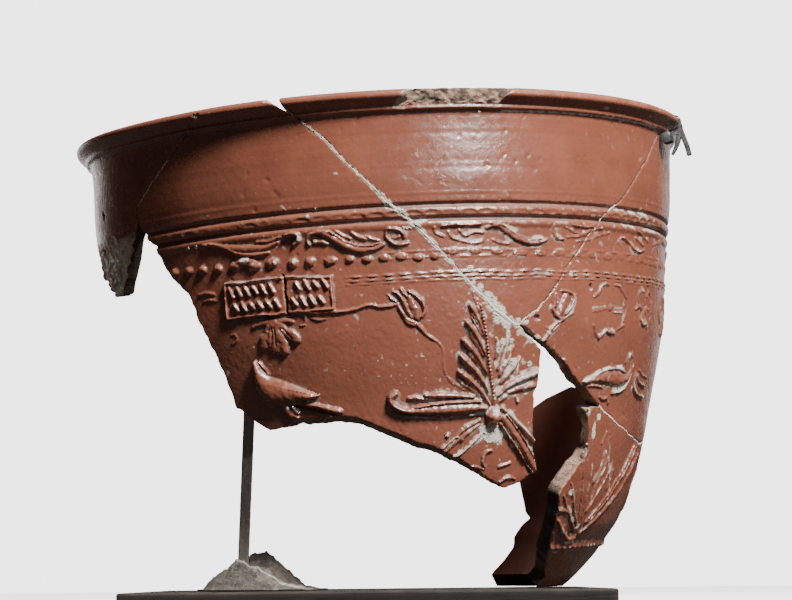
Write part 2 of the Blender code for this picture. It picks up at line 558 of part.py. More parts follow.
def triangulated(outline, points, edges):
    """Triangles inside the outline; the outline's own points come first, in order."""
    count = len(outline)
    corners = [Vector(p) for p in outline + points]
    done = geometry.delaunay_2d_cdt(corners, edges, [list(range(count))], 1, 1e-4)
    verts, _, faces, origins = done[0], done[1], done[2], done[3]
    place = {}
    for new, olds in enumerate(origins):
        for old in olds:
            if old < count:
                place[old] = new
    ring = [place[i] for i in range(count)]
    return [tuple(v) for v in verts], [tuple(f) for f in faces], ring


def steps(low, high, step):
    start, end = int(ceil(low / step)), int(high // step)
    return [i * step for i in range(start, end + 1)]


def outer_sheet(outline, relief):
    xs, ys = [p[0] for p in outline], [p[1] for p in outline]
    plain = [y for y in steps(min(ys), max(ys), 11.0) if all(abs(y - k) > 2.4 for k in KNOTS)]
    rows = sorted(plain + [k for k in KNOTS if min(ys) < k < max(ys)])
    points, lines = grid_points(outline, steps(min(xs), max(xs), MAP_R * radians(5.0)), rows)
    kept = []
    edges = []
    taken = [stroke for _, stroke in relief.strokes]
    for x, y in points:
        near = y not in KNOTS and any(near_line(x, y, line, 1.6) for line in taken)
        kept.append(None if near else (x, y))
    order, final = {}, []
    for i, point in enumerate(kept):
        if point:
            order[i] = len(final)
            final.append(point)
    base = len(outline)
    for run in lines:
        if points[run[0]][1] in KNOTS:
            edges += [(base + order[a], base + order[b]) for a, b in zip(run, run[1:])]
    for line, closed in relief.outlines():
        index = []
        for x, y in line:
            if min(xs) < x < max(xs) and inside(x, y, outline) \
                    and clearance(x, y, outline) > 0.45:
                index.append(base + len(final))
                final.append((x, y))
            else:
                index.append(None)
        pairs = list(zip(index, index[1:])) + ([(index[-1], index[0])] if closed else [])
        for a, b in pairs:
            if a is not None and b is not None and a != b:
                if not crosses(final[a - base], final[b - base], outline):
                    edges.append((a, b))
    return triangulated(outline, final, edges)


def near_line(x, y, line, more):
    for (ax, ay, aw), (bx, by, bw) in zip(line, line[1:]):
        run = (bx - ax) ** 2 + (by - ay) ** 2
        share = min(1.0, max(0.0, ((x - ax) * (bx - ax) + (y - ay) * (by - ay)) / run))
        away = hypot(x - ax - share * (bx - ax), y - ay - share * (by - ay))
        if away < max(aw, bw) + more:
            return True
    return False


def inner_sheet(outline):
    xs, ys = [p[0] for p in outline], [p[1] for p in outline]
    rows = steps(min(ys), max(ys), 13.0)
    points, _ = grid_points(outline, steps(min(xs), max(xs), MAP_R * radians(6.0)), rows)
    return triangulated(outline, points, [])


def sherd(name, outline, relief, frame, home, materials, cut=None):
    """One closed sherd: a worked outer face, a plain inner face and the break between."""
    ring_points = knotted(inset(outline, GAP / 2))
    body = bmesh.new()
    verts, faces, ring = outer_sheet(ring_points, relief)
    outer = []
    for x, y in verts:
        radius, height = outer_point(y)
        out, up = outward(y)
        lift = relief.rise(x, y)
        radius = relief.chipped(x, y, radius) + swing(x, y)
        outer.append(body.verts.new(wrapped(x, radius + lift * out, height + lift * up)))
    for face in faces:
        flip = orientation([verts[i] for i in face]) < 0
        corners = [outer[i] for i in (face[::-1] if flip else face)]
        body.faces.new(corners).material_index = 0
    outer_ring = [outer[i] for i in ring]
    inner_ring_points = [(x, y + (cut(x, y) if cut else 0.0)) for x, y in ring_points]
    verts, faces, ring = inner_sheet(inner_ring_points)
    inner = []
    for x, y in verts:
        radius, height = inner_point(y)
        inner.append(body.verts.new(wrapped(x, radius + swing(x, y), height)))
    for face in faces:
        flip = orientation([verts[i] for i in face]) > 0
        corners = [inner[i] for i in (face[::-1] if flip else face)]
        body.faces.new(corners).material_index = 0
    inner_ring = [inner[i] for i in ring]
    for i, corner in enumerate(outer_ring):
        after = (i + 1) % len(outer_ring)
        on_rim = ring_points[i][1] > LIP_TOP - 0.01 and ring_points[after][1] > LIP_TOP - 0.01
        side = body.faces.new((corner, inner_ring[i], inner_ring[after], outer_ring[after]))
        side.material_index = 0 if on_rim else 1
    bmesh.ops.recalc_face_normals(body, faces=body.faces)
    bmesh.ops.triangulate(body, faces=[f for f in body.faces if len(f.verts) > 3])
    return finished(name, body, home, materials, frame)


def orientation(points):
    (ax, ay), (bx, by), (cx, cy) = points[:3]
    return (bx - ax) * (cy - ay) - (by - ay) * (cx - ax)


def finished(name, body, home, materials, parent=None):
    mesh = bpy.data.meshes.new(name)
    body.to_mesh(mesh)
    body.free()
    for material in materials:
        mesh.materials.append(material)
    obj = bpy.data.objects.new(name, mesh)
    obj.parent = parent
    home.objects.link(obj)
    for polygon in mesh.polygons:
        polygon.use_smooth = polygon.material_index == 0
    mesh.set_sharp_from_angle(angle=radians(38.0))
    return obj


# ---------------------------------------------------------------- materials
def material(name, colour, roughness, metallic=0.0):
    made = bpy.data.materials.new(name)
    made.use_nodes = True
    shader = made.node_tree.nodes["Principled BSDF"]
    shader.inputs["Base Color"].default_value = (*colour, 1.0)
    shader.inputs["Roughness"].default_value = roughness
    shader.inputs["Metallic"].default_value = metallic
    made.diffuse_color = (*colour, 1.0)
    return made


def slip_material(name):
    return material(name, (0.205, 0.068, 0.042), 0.42)


def clay_break_material(name):
    return material(name, (0.50, 0.30, 0.20), 0.85)


# ---------------------------------------------------------------- stand
def block(name, size, place, home, surface, bevel):
    """A bevelled box standing on its own underside."""
    body = bmesh.new()
    bmesh.ops.create_cube(body, size=1.0)
    bmesh.ops.scale(body, vec=Vector(size) * MM, verts=body.verts)
    bmesh.ops.translate(body, vec=Vector((0, 0, size[2] / 2)) * MM, verts=body.verts)
    obj = finished(name, body, home, (surface,))
    obj.location = Vector(place) * MM
    if bevel:
        soften = obj.modifiers.new("edges", "BEVEL")
        soften.width, soften.segments = bevel * MM, 2
        soften.limit_method = "ANGLE"
    return obj


def rod(name, home, surface, grow=0.0):
    size = (ROD_SIZE[0] + 2 * grow, ROD_SIZE[1] + 2 * grow, ROD_SIZE[2] + 2 * grow)
    foot = (ROD_FOOT[0] + VASE_AXIS[0], ROD_FOOT[1] + VASE_AXIS[1], ROD_FOOT[2] + BOARD[2])
    obj = block(name, size, foot, home, surface, 0.0 if grow else 0.35)
    obj.rotation_euler = (radians(ROD_TILT[0]), radians(ROD_TILT[1]), 0.0)
    if grow:
        obj.location.z -= grow * MM
    return obj


def clay_height(x, y):
    """Height of the lump: two peaks that run into one skirt, and a pressed crease between."""
    dx, dy = (x - CLAY_CENTRE[0]) / CLAY_BASE[0], (y - CLAY_CENTRE[1]) / CLAY_BASE[1]
    skirt = max(0.0, 1.0 - hypot(dx, dy))
    high = 2.2 * min(1.0, skirt * 3.0)
    for px, py, top, reach in CLAY_PEAKS:
        away = hypot(x - px, y - py) / reach
        high = max(high, top * max(0.0, 1.0 - away ** 1.25) ** 0.9)
    lumps = 0.35 * sin(1.3 * x + 0.7 * y) * sin(0.9 * x - 1.1 * y)
    return max(0.0, high * min(1.0, skirt * 4.0) + lumps * min(1.0, skirt * 2.0))


def clay_lump(name, home, surface, cutter):
    """A round disc of clay pinched up into two peaks, with a socket for the rod."""
    body = bmesh.new()
    bmesh.ops.create_uvsphere(body, u_segments=26, v_segments=18, radius=1.0)
    for vert in body.verts:
        turn = atan2(vert.co.y, vert.co.x)
        flat = hypot(vert.co.x, vert.co.y)
        reach = flat if vert.co.z < 0 else flat ** 0.9
        ragged = 1.0 + 0.05 * sin(3 * turn + 0.6) + 0.035 * sin(7 * turn)
        x = CLAY_CENTRE[0] + CLAY_BASE[0] * ragged * reach * cos(turn)
        y = CLAY_CENTRE[1] + CLAY_BASE[1] * ragged * reach * sin(turn)
        high = 0.0 if vert.co.z < -0.05 else max(0.7, clay_height(x, y) + 0.7)
        vert.co = Vector((x + VASE_AXIS[0], y + VASE_AXIS[1], BOARD[2] + GAP + high)) * MM
    obj = finished(name, body, home, (surface,))
    cut = obj.modifiers.new("socket", "BOOLEAN")
    cut.operation, cut.solver, cut.object = "DIFFERENCE", "EXACT", cutter
    return obj


def strip(path, width, upright=False):
    """A bent strip along (azimuth, radius, height, thickness), lying flat or on its edge."""
    body = bmesh.new()
    places = [wrapped(radians(azimuth) * MAP_R, radius, height) for azimuth, radius, height, _ in path]
    rings = []
    for i, (azimuth, _, _, thick) in enumerate(path):
        turn = radians(azimuth)
        side = Vector((0.0, 0.0, 1.0)) if upright else Vector((cos(turn), sin(turn), 0.0))
        along = places[min(i + 1, len(path) - 1)] - places[max(i - 1, 0)]
        face = along.cross(side).normalized() * thick / 2 * MM
        side = side * width / 2 * MM
        rings.append([body.verts.new(places[i] + side * a + face * b)
                      for a, b in ((-1, -1), (1, -1), (1, 1), (-1, 1))])
    for one, two in zip(rings, rings[1:]):
        for i in range(4):
            body.faces.new((one[i], one[(i + 1) % 4], two[(i + 1) % 4], two[i]))
    body.faces.new(rings[0][::-1])
    body.faces.new(rings[-1])
    bmesh.ops.recalc_face_normals(body, faces=body.faces)
    return body


def rim_tie(name, home, helpers, surface, frame):
    obj = finished(name, strip(TIE_OVER, TIE_WIDTH), home, (surface,), frame)
    tail = finished("tie_tail", strip(TIE_TAIL, TIE_WIDTH * 0.9), helpers, (surface,), frame)
    band = finished("tie_band", strip(TIE_BAND, TIE_WIDTH * 0.7, True), helpers, (surface,), frame)
    (azimuth, radius, height), size = TIE_KNOT
    knot = bmesh.new()
    bmesh.ops.create_cube(knot, size=1.0)
    bmesh.ops.scale(knot, vec=Vector(size) * MM, verts=knot.verts)
    bmesh.ops.bevel(knot, geom=knot.edges[:], offset=0.5 * MM, segments=1, affect="EDGES")
    lump = finished("tie_knot", knot, helpers, (surface,), frame)
    lump.location = wrapped(radians(azimuth) * MAP_R, radius, height)
    lump.rotation_euler = (0.0, radians(-14.0), radians(azimuth) - pi / 2)
    for helper in (tail, band, lump):
        join = obj.modifiers.new(helper.name, "BOOLEAN")
        join.operation, join.solver, join.object = "UNION", "EXACT", helper
    return obj


def collection(name, hidden=False):
    made = bpy.data.collections.new(name)
    bpy.context.scene.collection.children.link(made)
    made.hide_render = hidden
    return made


def main():
    clear_scene()
    home = collection("arretine_vase")
    helpers = collection("cutters", hidden=True)
    slip, raw = slip_material("red_slip"), clay_break_material("broken_clay")
    iron = material("dark_iron", (0.028, 0.027, 0.027), 0.55, 0.85)
    lump = material("modelling_clay", (0.115, 0.098, 0.082), 0.8)
    lead = material("lead_strip", (0.15, 0.15, 0.15), 0.6, 0.7)
    wood = material("stained_wood", (0.035, 0.028, 0.024), 0.75)
    board = block("base_board", BOARD, (0, 0, 0), home, wood, BOARD_BEVEL)
    board.location = (0.0, 0.0, 0.0)

    frame = bpy.data.objects.new("vase_frame", None)
    frame.location = Vector((VASE_AXIS[0], VASE_AXIS[1], BOARD[2])) * MM
    frame.rotation_euler = (radians(VASE_PITCH), radians(-VASE_LEAN), 0.0)
    home.objects.link(frame)

    relief = Relief()
    whole_b = JOINT_B + JOINT_B_LOW[1:]
    outlines = {
        "sherd_rim_left": joined(rim_run(-101.0, -31.0), JOINT_A, EDGE_LEFT_RIGHT, EDGE_LEFT_LOW),
        "sherd_front": joined(rim_run(-31.0, -20.6), CORNER_FRONT, whole_b,
                              EDGE_FRONT_RIGHT[::-1], EDGE_FRONT_LEFT[::-1], JOINT_A[::-1]),
        "sherd_upper": joined(rim_run(-17.2, 79.0), CRACK_C, JOINT_B[::-1],
                              CORNER_UPPER[::-1]),
        "sherd_right": joined(rim_run(79.0, 101.0), EDGE_BACK[::-1], JOINT_D[::-1],
                              EDGE_RIGHT_OPEN[::-1], JOINT_B_LOW[::-1], CRACK_C[::-1]),
        "sherd_lower_right": joined(JOINT_D, EDGE_LOW_BACK, foot_run()[::-1],
                                    EDGE_LOW_FRONT[::-1]),
    }
    for name, outline in outlines.items():
        cut = undercut if name == "sherd_front" else None
        sherd(name, outline, relief, frame, home, (slip, raw), cut)

    rod("support_rod", home, iron)
    socket = rod("rod_socket", helpers, iron, grow=GAP)
    socket.display_type = "WIRE"
    clay_lump("clay_foot", home, lump, socket)
    rim_tie("rim_tie", home, helpers, lead, frame)
    for helper in helpers.objects:
        helper.hide_render = True
        helper.display_type = "WIRE"


main()
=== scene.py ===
"""Dressed model of a broken Arretine relief bowl, set up on a board with an iron prop.

The bowl is one body of revolution broken into sherds. Each sherd is drawn on a flat map of the
wall: x is the azimuth times MAP_R, y is the height up the wall, with the rim moulding unrolled
above LIP_FOOT. The map is cut into triangles, wrapped on the wall and raised by the relief.
Map lengths are in millimetres; azimuth 0 faces -Y and 90 is +X.
"""

import json
from math import ceil, copysign, cos, hypot, pi, radians, sin

import bmesh
import bpy
import numpy as np
from bpy.props import FloatProperty, FloatVectorProperty, IntProperty, PointerProperty
from mathutils import Euler, Matrix, Vector, geometry


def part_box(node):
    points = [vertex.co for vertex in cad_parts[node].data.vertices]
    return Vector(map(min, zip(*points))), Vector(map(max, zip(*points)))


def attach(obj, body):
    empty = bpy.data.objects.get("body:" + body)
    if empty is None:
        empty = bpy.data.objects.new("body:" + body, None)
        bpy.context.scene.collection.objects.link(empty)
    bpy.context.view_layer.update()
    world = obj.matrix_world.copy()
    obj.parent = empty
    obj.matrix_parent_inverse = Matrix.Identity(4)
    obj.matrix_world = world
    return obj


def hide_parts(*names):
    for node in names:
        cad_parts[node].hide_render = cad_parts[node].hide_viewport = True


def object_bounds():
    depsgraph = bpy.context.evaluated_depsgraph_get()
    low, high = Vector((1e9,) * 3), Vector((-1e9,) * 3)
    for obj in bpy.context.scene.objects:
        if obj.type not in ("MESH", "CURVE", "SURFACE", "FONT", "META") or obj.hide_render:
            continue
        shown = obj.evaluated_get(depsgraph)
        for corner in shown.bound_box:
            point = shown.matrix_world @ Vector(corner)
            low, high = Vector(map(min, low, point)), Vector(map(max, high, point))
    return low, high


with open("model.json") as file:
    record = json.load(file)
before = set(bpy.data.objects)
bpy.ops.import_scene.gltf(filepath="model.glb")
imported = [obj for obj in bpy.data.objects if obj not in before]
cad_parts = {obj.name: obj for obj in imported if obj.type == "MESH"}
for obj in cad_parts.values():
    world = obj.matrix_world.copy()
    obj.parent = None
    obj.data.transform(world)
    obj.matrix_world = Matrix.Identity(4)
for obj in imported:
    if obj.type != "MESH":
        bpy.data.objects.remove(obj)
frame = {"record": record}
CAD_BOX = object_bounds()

bl_info = {
    "name": "Arretine Bowl Fragment",
    "version": (1, 0, 0),
    "blender": (4, 5, 0),
    "location": "View3D > Sidebar > Arretine Bowl",
    "description": "Builds the sherds, the prop and the stage of a broken relief bowl",
    "category": "Object",
}

MM = 0.001
MAP_R = 96.0
ROOT = "root"
BASE_COLOURS = {row["slot"]: tuple(row["base_color"][:3]) for row in frame["record"]["materials"]}
BOARD_LOW, BOARD_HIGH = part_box("base_board")


# ---- where the bowl stands
VASE_AXIS = (12, 15)
VASE_LEAN = 2.58
VASE_PITCH = 1.55
VASE_TURN = Euler((radians(VASE_PITCH), radians(-VASE_LEAN), 0.0)).to_matrix()
VASE_FOOT = Vector((VASE_AXIS[0] * MM, VASE_AXIS[1] * MM, BOARD_HIGH[2]))


# ---- bowl
# Wall: height, radius.
WALL = [
    (-8, 46), (-4, 53), (0, 58.7), (2.7, 61.8), (6.1, 65.3), (9.5, 68.5), (12.8, 71), (16.2, 73.8),
    (19.6, 76.4), (23, 78.3), (26.5, 80.1), (29.9, 81.7), (33.4, 83.1), (36.8, 84.5), (43.8, 86.8),
    (50.8, 88.7), (57.8, 90.3), (64.8, 92), (71.7, 93.8), (78.7, 95.5), (85.8, 97), (96.5, 98.4),
    (107.1, 99.4), (117.8, 100.7), (124.9, 102), (132, 102.9), (139, 103.4), (146.5, 103.9),
    (152.9, 104.8)]
LIP_FOOT = 152.9
# Rim moulding, unrolled: place on the map, radius, height.
LIP = [
    (153.5, 105.9, 153.3), (154, 106.3, 153.9), (154.4, 106.1, 154.4), (154.8, 106.2, 154.7),
    (155.6, 106.9, 155.3), (157, 108.2, 156.3), (157.9, 109, 157), (158.7, 109.35, 157.7),
    (159.6, 109.25, 158.5), (160.5, 108.6, 159.2), (161.6, 107.4, 159.65), (164, 104.8, 159.3)]
LIP_TOP = 164.0
INNER_LIP = (103.4, 158.1)
UNDER_LIP = LIP_FOOT - 3.0
THICK = [(-8, 5.5), (10, 6), (60, 5.8), (90, 5.2), (125, 4.8), (152.9, 4.7)]
# Wheel-cut lines and plain mouldings: (height, depth or rise).
BANDS = [
    (115.6, 0), (116.4, 0.3), (117.2, 0.5), (118, 0.35), (118.5, -0.45), (118.9, -0.95),
    (119.4, -0.75), (119.9, 0.05), (120.5, 0.4), (121.2, 0.45), (121.9, 0.35), (122.4, 0.1),
    (122.8, -0.45), (123.2, -0.85), (123.7, -0.6), (124.4, 0), (126.6, 0), (127.1, 0.15),
    (127.6, 0)]
GROOVES = (118.9, 123.2)
LOW_BEADS = [(11.1, 0), (12.6, 1), (14, 0)]


# ---- joints and breaks (azimuth, height)
JOINT_A = [
    (-31, 164), (-33.5, 157.5), (-38.2, 151.3), (-41.5, 147.5), (-50, 137), (-54, 131.2),
    (-53.3, 127.7)]
EDGE_FRONT_LEFT = [
    (-53.3, 127.7), (-52.1, 123.4), (-49.3, 118.6), (-47.8, 113.2), (-45.6, 107.8), (-42.6, 103.4),
    (-41.2, 100.8), (-39.7, 93), (-38, 85.9), (-35.7, 75.5), (-34.3, 63.4), (-32.7, 62.2),
    (-30.4, 58.8), (-27.4, 55.6), (-23.4, 55.9), (-21, 58.2), (-12, 58.6), (-7.3, 57), (-2.6, 53.4),
    (3.5, 49.2), (9, 46), (16, 40.2), (22.7, 33.4), (24.2, 32.4), (27.6, 34.8), (31.3, 37.4)]
EDGE_FRONT_RIGHT = [
    (31.3, 37.4), (30.2, 45.5), (29.9, 53), (29.5, 62.8), (30.4, 65.4), (30.4, 76.9)]
JOINT_B = [
    (-15.1, 154), (-10.1, 145.9), (-6.6, 138.6), (-2.9, 131.6), (1.1, 123.6), (5.8, 116.4),
    (10.1, 108.2), (13.9, 100.9), (17.7, 93.9), (20.8, 88.9), (25, 84.6)]
# The two corners of the rim at this joint, with a chip out of the left one.
CORNER_FRONT = [(-20.6, 164), (-19.3, 161.8), (-17.9, 159), (-16.8, 156.6), (-15.1, 154)]
CORNER_UPPER = [(-17.2, 164), (-16.9, 159.5), (-16.2, 156.4), (-15.1, 154)]
JOINT_B_LOW = [(25, 84.6), (27.6, 81), (30.4, 76.9)]
# The right sherd has lost a sliver here, so the joint opens downwards.
SPLIT_RIGHT = [(25.9, 85.6), (25.4, 84.6), (27.3, 82.4), (29.5, 80.1), (31.6, 78), (34.4, 75.2)]
CRACK_C = [
    (79, 164), (76.5, 158.2), (73.5, 155), (66.5, 151.6), (60.5, 141.7), (52.5, 129), (46, 121),
    (41, 113), (37.1, 105.4), (34.4, 99.5), (29.5, 90), (25, 84.6)]
EDGE_RIGHT_OPEN = [(30.4, 76.9), (33.5, 75), (38, 70.5), (40.6, 66.6), (43.4, 64.4), (48.5, 58.4)]
JOINT_D = [
    (48.5, 58.4), (51.7, 55.9), (54, 54.1), (58, 51.8), (62, 50), (66, 48.4), (70, 47.1),
    (76, 46.3), (84, 47.6), (94, 52.4), (104, 57.8), (113, 62.5)]
EDGE_BACK = [
    (113, 62.5), (116.5, 67), (114.2, 76), (115.8, 84.5), (112, 90), (109.6, 101), (110.8, 104.5),
    (106.8, 117), (107.6, 126.5), (103, 134), (103.8, 147), (102.2, 151.5), (102.6, 158),
    (101, 164)]
EDGE_LOW_BACK = [
    (113, 62.5), (121, 66.2), (129, 70.6), (137, 67), (141.5, 63.5), (143, 50), (143.9, 36),
    (141.2, 28), (138.7, 22), (136.2, 18.8), (138.2, 16.4), (139.4, 12), (138, 7.6), (139.4, 2.6),
    (141, -1)]
EDGE_LOW_FRONT = [
    (44.8, 57.9), (45.3, 52.5), (46.2, 49.5), (46.3, 45.5), (45.8, 41), (43.9, 39.3), (42.4, 35.5),
    (40.6, 32), (40, 29.6), (41, 25), (41.4, 21), (42.4, 16.5), (43.4, 13), (44.2, 10), (47, 6),
    (51, 2)]
EDGE_LEFT_RIGHT = [(-53.3, 127.7), (-57.2, 121.4), (-60.7, 113.6), (-64.9, 104.8)]
EDGE_LEFT_LOW = [
    (-64.9, 104.8), (-68, 104.2), (-71.4, 106.4), (-74.4, 109.6), (-78.4, 112), (-81, 115.6),
    (-85, 118.6), (-88, 122), (-93.5, 128), (-97, 135), (-101.5, 141), (-100, 150), (-102, 157),
    (-101, 164)]
FOOT_AZIMUTHS = (51, 141)
FOOT_CLEAR = 0.1
# The left end has sagged outwards: this much per millimetre below LEFT_HINGE.
LEFT_SWING, LEFT_HINGE, LEFT_FADE = 0.062, 149.0, (-46.0, -76.0)
# It is set a little too high as well.
LEFT_LIFT, LIFT_FADE = 2.6, (-42.0, -86.0)
# Where the break of the front sherd slopes: azimuth, shift of its inner edge up the wall.
UNDERCUT = [(-25, 0), (-20, -2.8), (0, -3), (12, -2.6), (22, -1.2), (26, 0)]
UNDERCUT_TOP = 62.0
# The front break of the lowest sherd slopes too: inner edge's shift along the wall, and the
# heights where it starts, is greatest and ends. Then the azimuth where it stops.
LOW_LEAN, LOW_LEAN_RIGHT = (3.6, 38, 50, 57.5), 48.0
SPALL_TOP, SPALL_DEPTH, SPALL_AZIMUTH = 124.5, 0.9, -55.0
LIP_CHIP, LIP_CHIP_RADIUS = (3.4, 21.4), 106.9
HALF_GAP = 0.15


# ---- ornament (azimuth, height, half width)
# The rise is less than 0 for a flat top.
def strokes(*rows):
    """Each row is a stroke's rise, then azimuth, height and half width at each of its points."""
    return [(row[0], [row[i:i + 3] for i in range(1, len(row), 3)]) for row in rows]


BIRD = strokes(
    (2.5, -27.4, 78.2, 0.3, -27.3, 76.6, 1, -27.1, 74.4, 1.7, -26.8, 72, 2.7, -26.1, 69.4, 3.8,
     -24.5, 67.6, 4.4, -22.4, 66.8, 4, -20, 66.2, 2.8, -17.6, 65.8, 1.5, -15.3, 65.6, 0.3),
    (2.7, -25, 70.6, 0.4, -23.4, 69.7, 0.5, -20.9, 68.5, 0.5, -18.3, 67.3, 0.5, -16.2, 66.3, 0.3),
    (2.2, -23, 65.8, 0.5, -20.4, 65.2, 0.5, -17.2, 64.7, 0.3),
    (1.5, -21.8, 64.4, 0.8, -18, 63.2, 0.9, -14.6, 61.8, 0.9, -11.8, 60.4, 1.1, -11.2, 60.1, 0.9),
    (1.3, -22.8, 63.4, 0.9, -22.1, 61.4, 1.2, -21.3, 60, 1.2, -20.2, 59.1, 0.8),
    (1.2, -21.2, 62.8, 0.7, -20.6, 61.3, 0.9, -19.9, 60.4, 0.7),
    (1.2, -26.7, 77.8, 0.3, -25.9, 75.6, 0.35, -25.1, 73.4, 0.3))
FAN = strokes(
    (-1, -22.5, 88.4, 2.4, -22.3, 86.4, 3.9, -22.2, 84.8, 4.6, -22.1, 84, 4.2),
    (-1, -24.6, 84.6, 1.9, -24.9, 82.9, 1.7),
    (-1.05, -22.9, 83.6, 1.9, -22.9, 81.6, 1.6),
    (-1.1, -21, 82.8, 1.8, -20.9, 80.6, 1.6),
    (-1.1, -19.4, 85.6, 1.7, -18.2, 83.9, 1.5),
    (0.7, -27, 88.6, 0.6, -25, 89.6, 1, -22.6, 89.8, 1.1, -20.2, 89.9, 1, -18.6, 89.2, 0.6),
    (0.6, -17.4, 91.4, 0.3, -16.4, 90.6, 0.5, -16, 89.4, 0.5, -16.4, 88, 0.4, -17.2, 87.8, 0.3),
    (0.6, -14.8, 89.8, 0.4, -13.6, 89.2, 0.6, -12.2, 89.2, 0.3),
    (0.4, -32.2, 86.8, 0.3, -31.3, 87, 0.4, -30.8, 85.8, 0.4, -31.4, 84.4, 0.4, -32.1, 84, 0.3))
BUD_LEFT = strokes(
    (1, 3.6, 94.6, 1, 4.2, 92, 1.8, 4.8, 89.6, 1.9, 4.9, 87.8, 1.2),
    (1.2, 0.6, 96.6, 0.3, 1.8, 95.4, 0.6, 2.6, 93, 0.8, 3.2, 90.4, 0.7, 3.9, 88, 0.5),
    (1.4, 3.6, 96.2, 0.3, 5, 94.6, 0.6, 6.1, 92.4, 0.7, 6.4, 90, 0.6, 5.9, 88.2, 0.5),
    (1, 2.2, 97.2, 0.4, 2.9, 95.4, 0.5, 4, 93.6, 0.5, 4.4, 91, 0.4),
    (1, 1.4, 92.4, 0.4, 2.2, 90, 0.7, 3, 87.8, 0.7, 4.4, 86.6, 0.6),
    (0.9, 2.4, 88.6, 0.3, 3, 86.8, 0.5, 4.2, 85.8, 0.5, 5, 86.2, 0.4),
    (0.6, -0.4, 95.9, 0.3, 0.4, 94.2, 0.4, 1.2, 93.4, 0.3),
    (0.7, 4.8, 86.2, 0.6, 5.6, 84.6, 0.7, 6.6, 82.6, 0.4, 8.2, 80.6, 0.3),
    (0.4, 6.6, 82.6, 0.35, 9, 79.6, 0.3, 9.8, 77, 0.3, 9.8, 74, 0.3, 10, 71, 0.3, 10.6, 69, 0.3,
     11.6, 67, 0.3, 14.2, 64.6, 0.3),
    (0.35, 11, 68.6, 0.3, 12.4, 66.6, 0.3, 14.6, 64.9, 0.3))
PALM = strokes(
    (0.6, 16.6, 93, 0.4, 17.8, 86, 0.9, 18.9, 77, 1.3, 19.6, 69, 1.4, 20.3, 60.5, 1.3),
    (0.7, 15.8, 95.4, 0.3, 16, 93, 0.5, 16.9, 89.2, 0.4),
    (0.8, 20.5, 80.4, 0.6, 20.8, 78.2, 0.8, 20.2, 74.5, 0.6),
    (0.8, 22.8, 80.6, 0.6, 22.2, 76.6, 0.9, 20.9, 71, 0.6),
    (0.9, 24, 77.8, 0.5, 22.9, 74, 0.9, 21.3, 69, 0.6),
    (1, 25.6, 74.4, 0.6, 23.8, 70.8, 1.1, 21.7, 66.4, 0.6),
    (1.3, 29.6, 69.6, 1, 26.4, 67.8, 1.2, 23.2, 65.6, 1, 21.2, 62.8, 0.5),
    (0.9, 29.6, 65.4, 0.9, 26, 64.6, 1, 23.4, 63.4, 0.6),
    (0.8, 21.6, 60.8, 0.5, 22.6, 61.9, 0.7, 23.4, 62.7, 0.4),
    (0.8, 25.2, 62, 0.5, 25.8, 60.3, 0.5))
# The leaflets on the palm's left: tip, root, half width, rise. Thinner ridges run beside it.
LEAFLETS = [
    ((15, 91.6), (17.7, 82), 1, 1.3), ((14.2, 86.2), (18.1, 75.6), 1.1, 1.5),
    ((13.5, 80.6), (18.5, 69.6), 1.2, 1.6), ((13, 75.6), (18.9, 64), 1.3, 1.7),
    ((12.8, 70.6), (19.4, 59.8), 1.2, 1.6), ((13.3, 66.8), (18.2, 60.4), 0.5, 0.8)]
# The rope-like rib down the middle of the palm: its line, then spacing and rise of the turns.
PALM_ROPE = (
    [(17.2, 91, 0.5), (18, 84, 0.6), (18.6, 78, 0.6), (19.3, 70, 0.6), (19.9, 65, 0.6),
     (20.3, 61, 0.5)],
    1.15, 1.3)
LEAF_LEFT = strokes(
    (2, 18.4, 59, 1.2, 15, 59.1, 1.9, 12, 59, 2.2, 9, 58.9, 2.2, 6, 58.9, 1.7, 3.4, 58.9, 1.2,
     1.4, 59.4, 1.1, 0, 60.6, 1.1, -0.8, 62.2, 1.2, -0.7, 63.7, 1.3, 0.1, 64.6, 1),
    (2.5, 17.4, 61.2, 0.5, 12, 61.2, 0.7, 8, 60.9, 0.7, 5.2, 60.3, 0.6, 3, 59.8, 0.4),
    (2.2, 16.6, 59.4, 0.4, 12, 59.4, 0.5, 8, 59.3, 0.5, 5.4, 59, 0.4),
    (1.9, 16, 62.6, 0.5, 12, 63.2, 0.9, 8.5, 63.5, 0.9, 6, 63.7, 0.6),
    (1.2, 6.4, 62.4, 0.5, 4.3, 62.9, 0.7, 2.6, 63, 0.4),
    (1.5, 16, 57.6, 0.5, 12.6, 57.5, 0.7, 9.4, 57.2, 0.7, 6.4, 57.6, 0.5),
    (0.8, 17.5, 55, 0.5, 14, 52.2, 0.6, 11.5, 49.3, 0.5, 9.3, 46.5, 0.5),
    (0.8, 17.3, 53.5, 0.4, 14.5, 50.8, 0.6, 12, 48, 0.6, 9.3, 44.6, 0.5),
    (0.8, 17.5, 50, 0.5, 15.5, 47.5, 0.5, 13.5, 44.8, 0.5, 11.3, 43, 0.4))
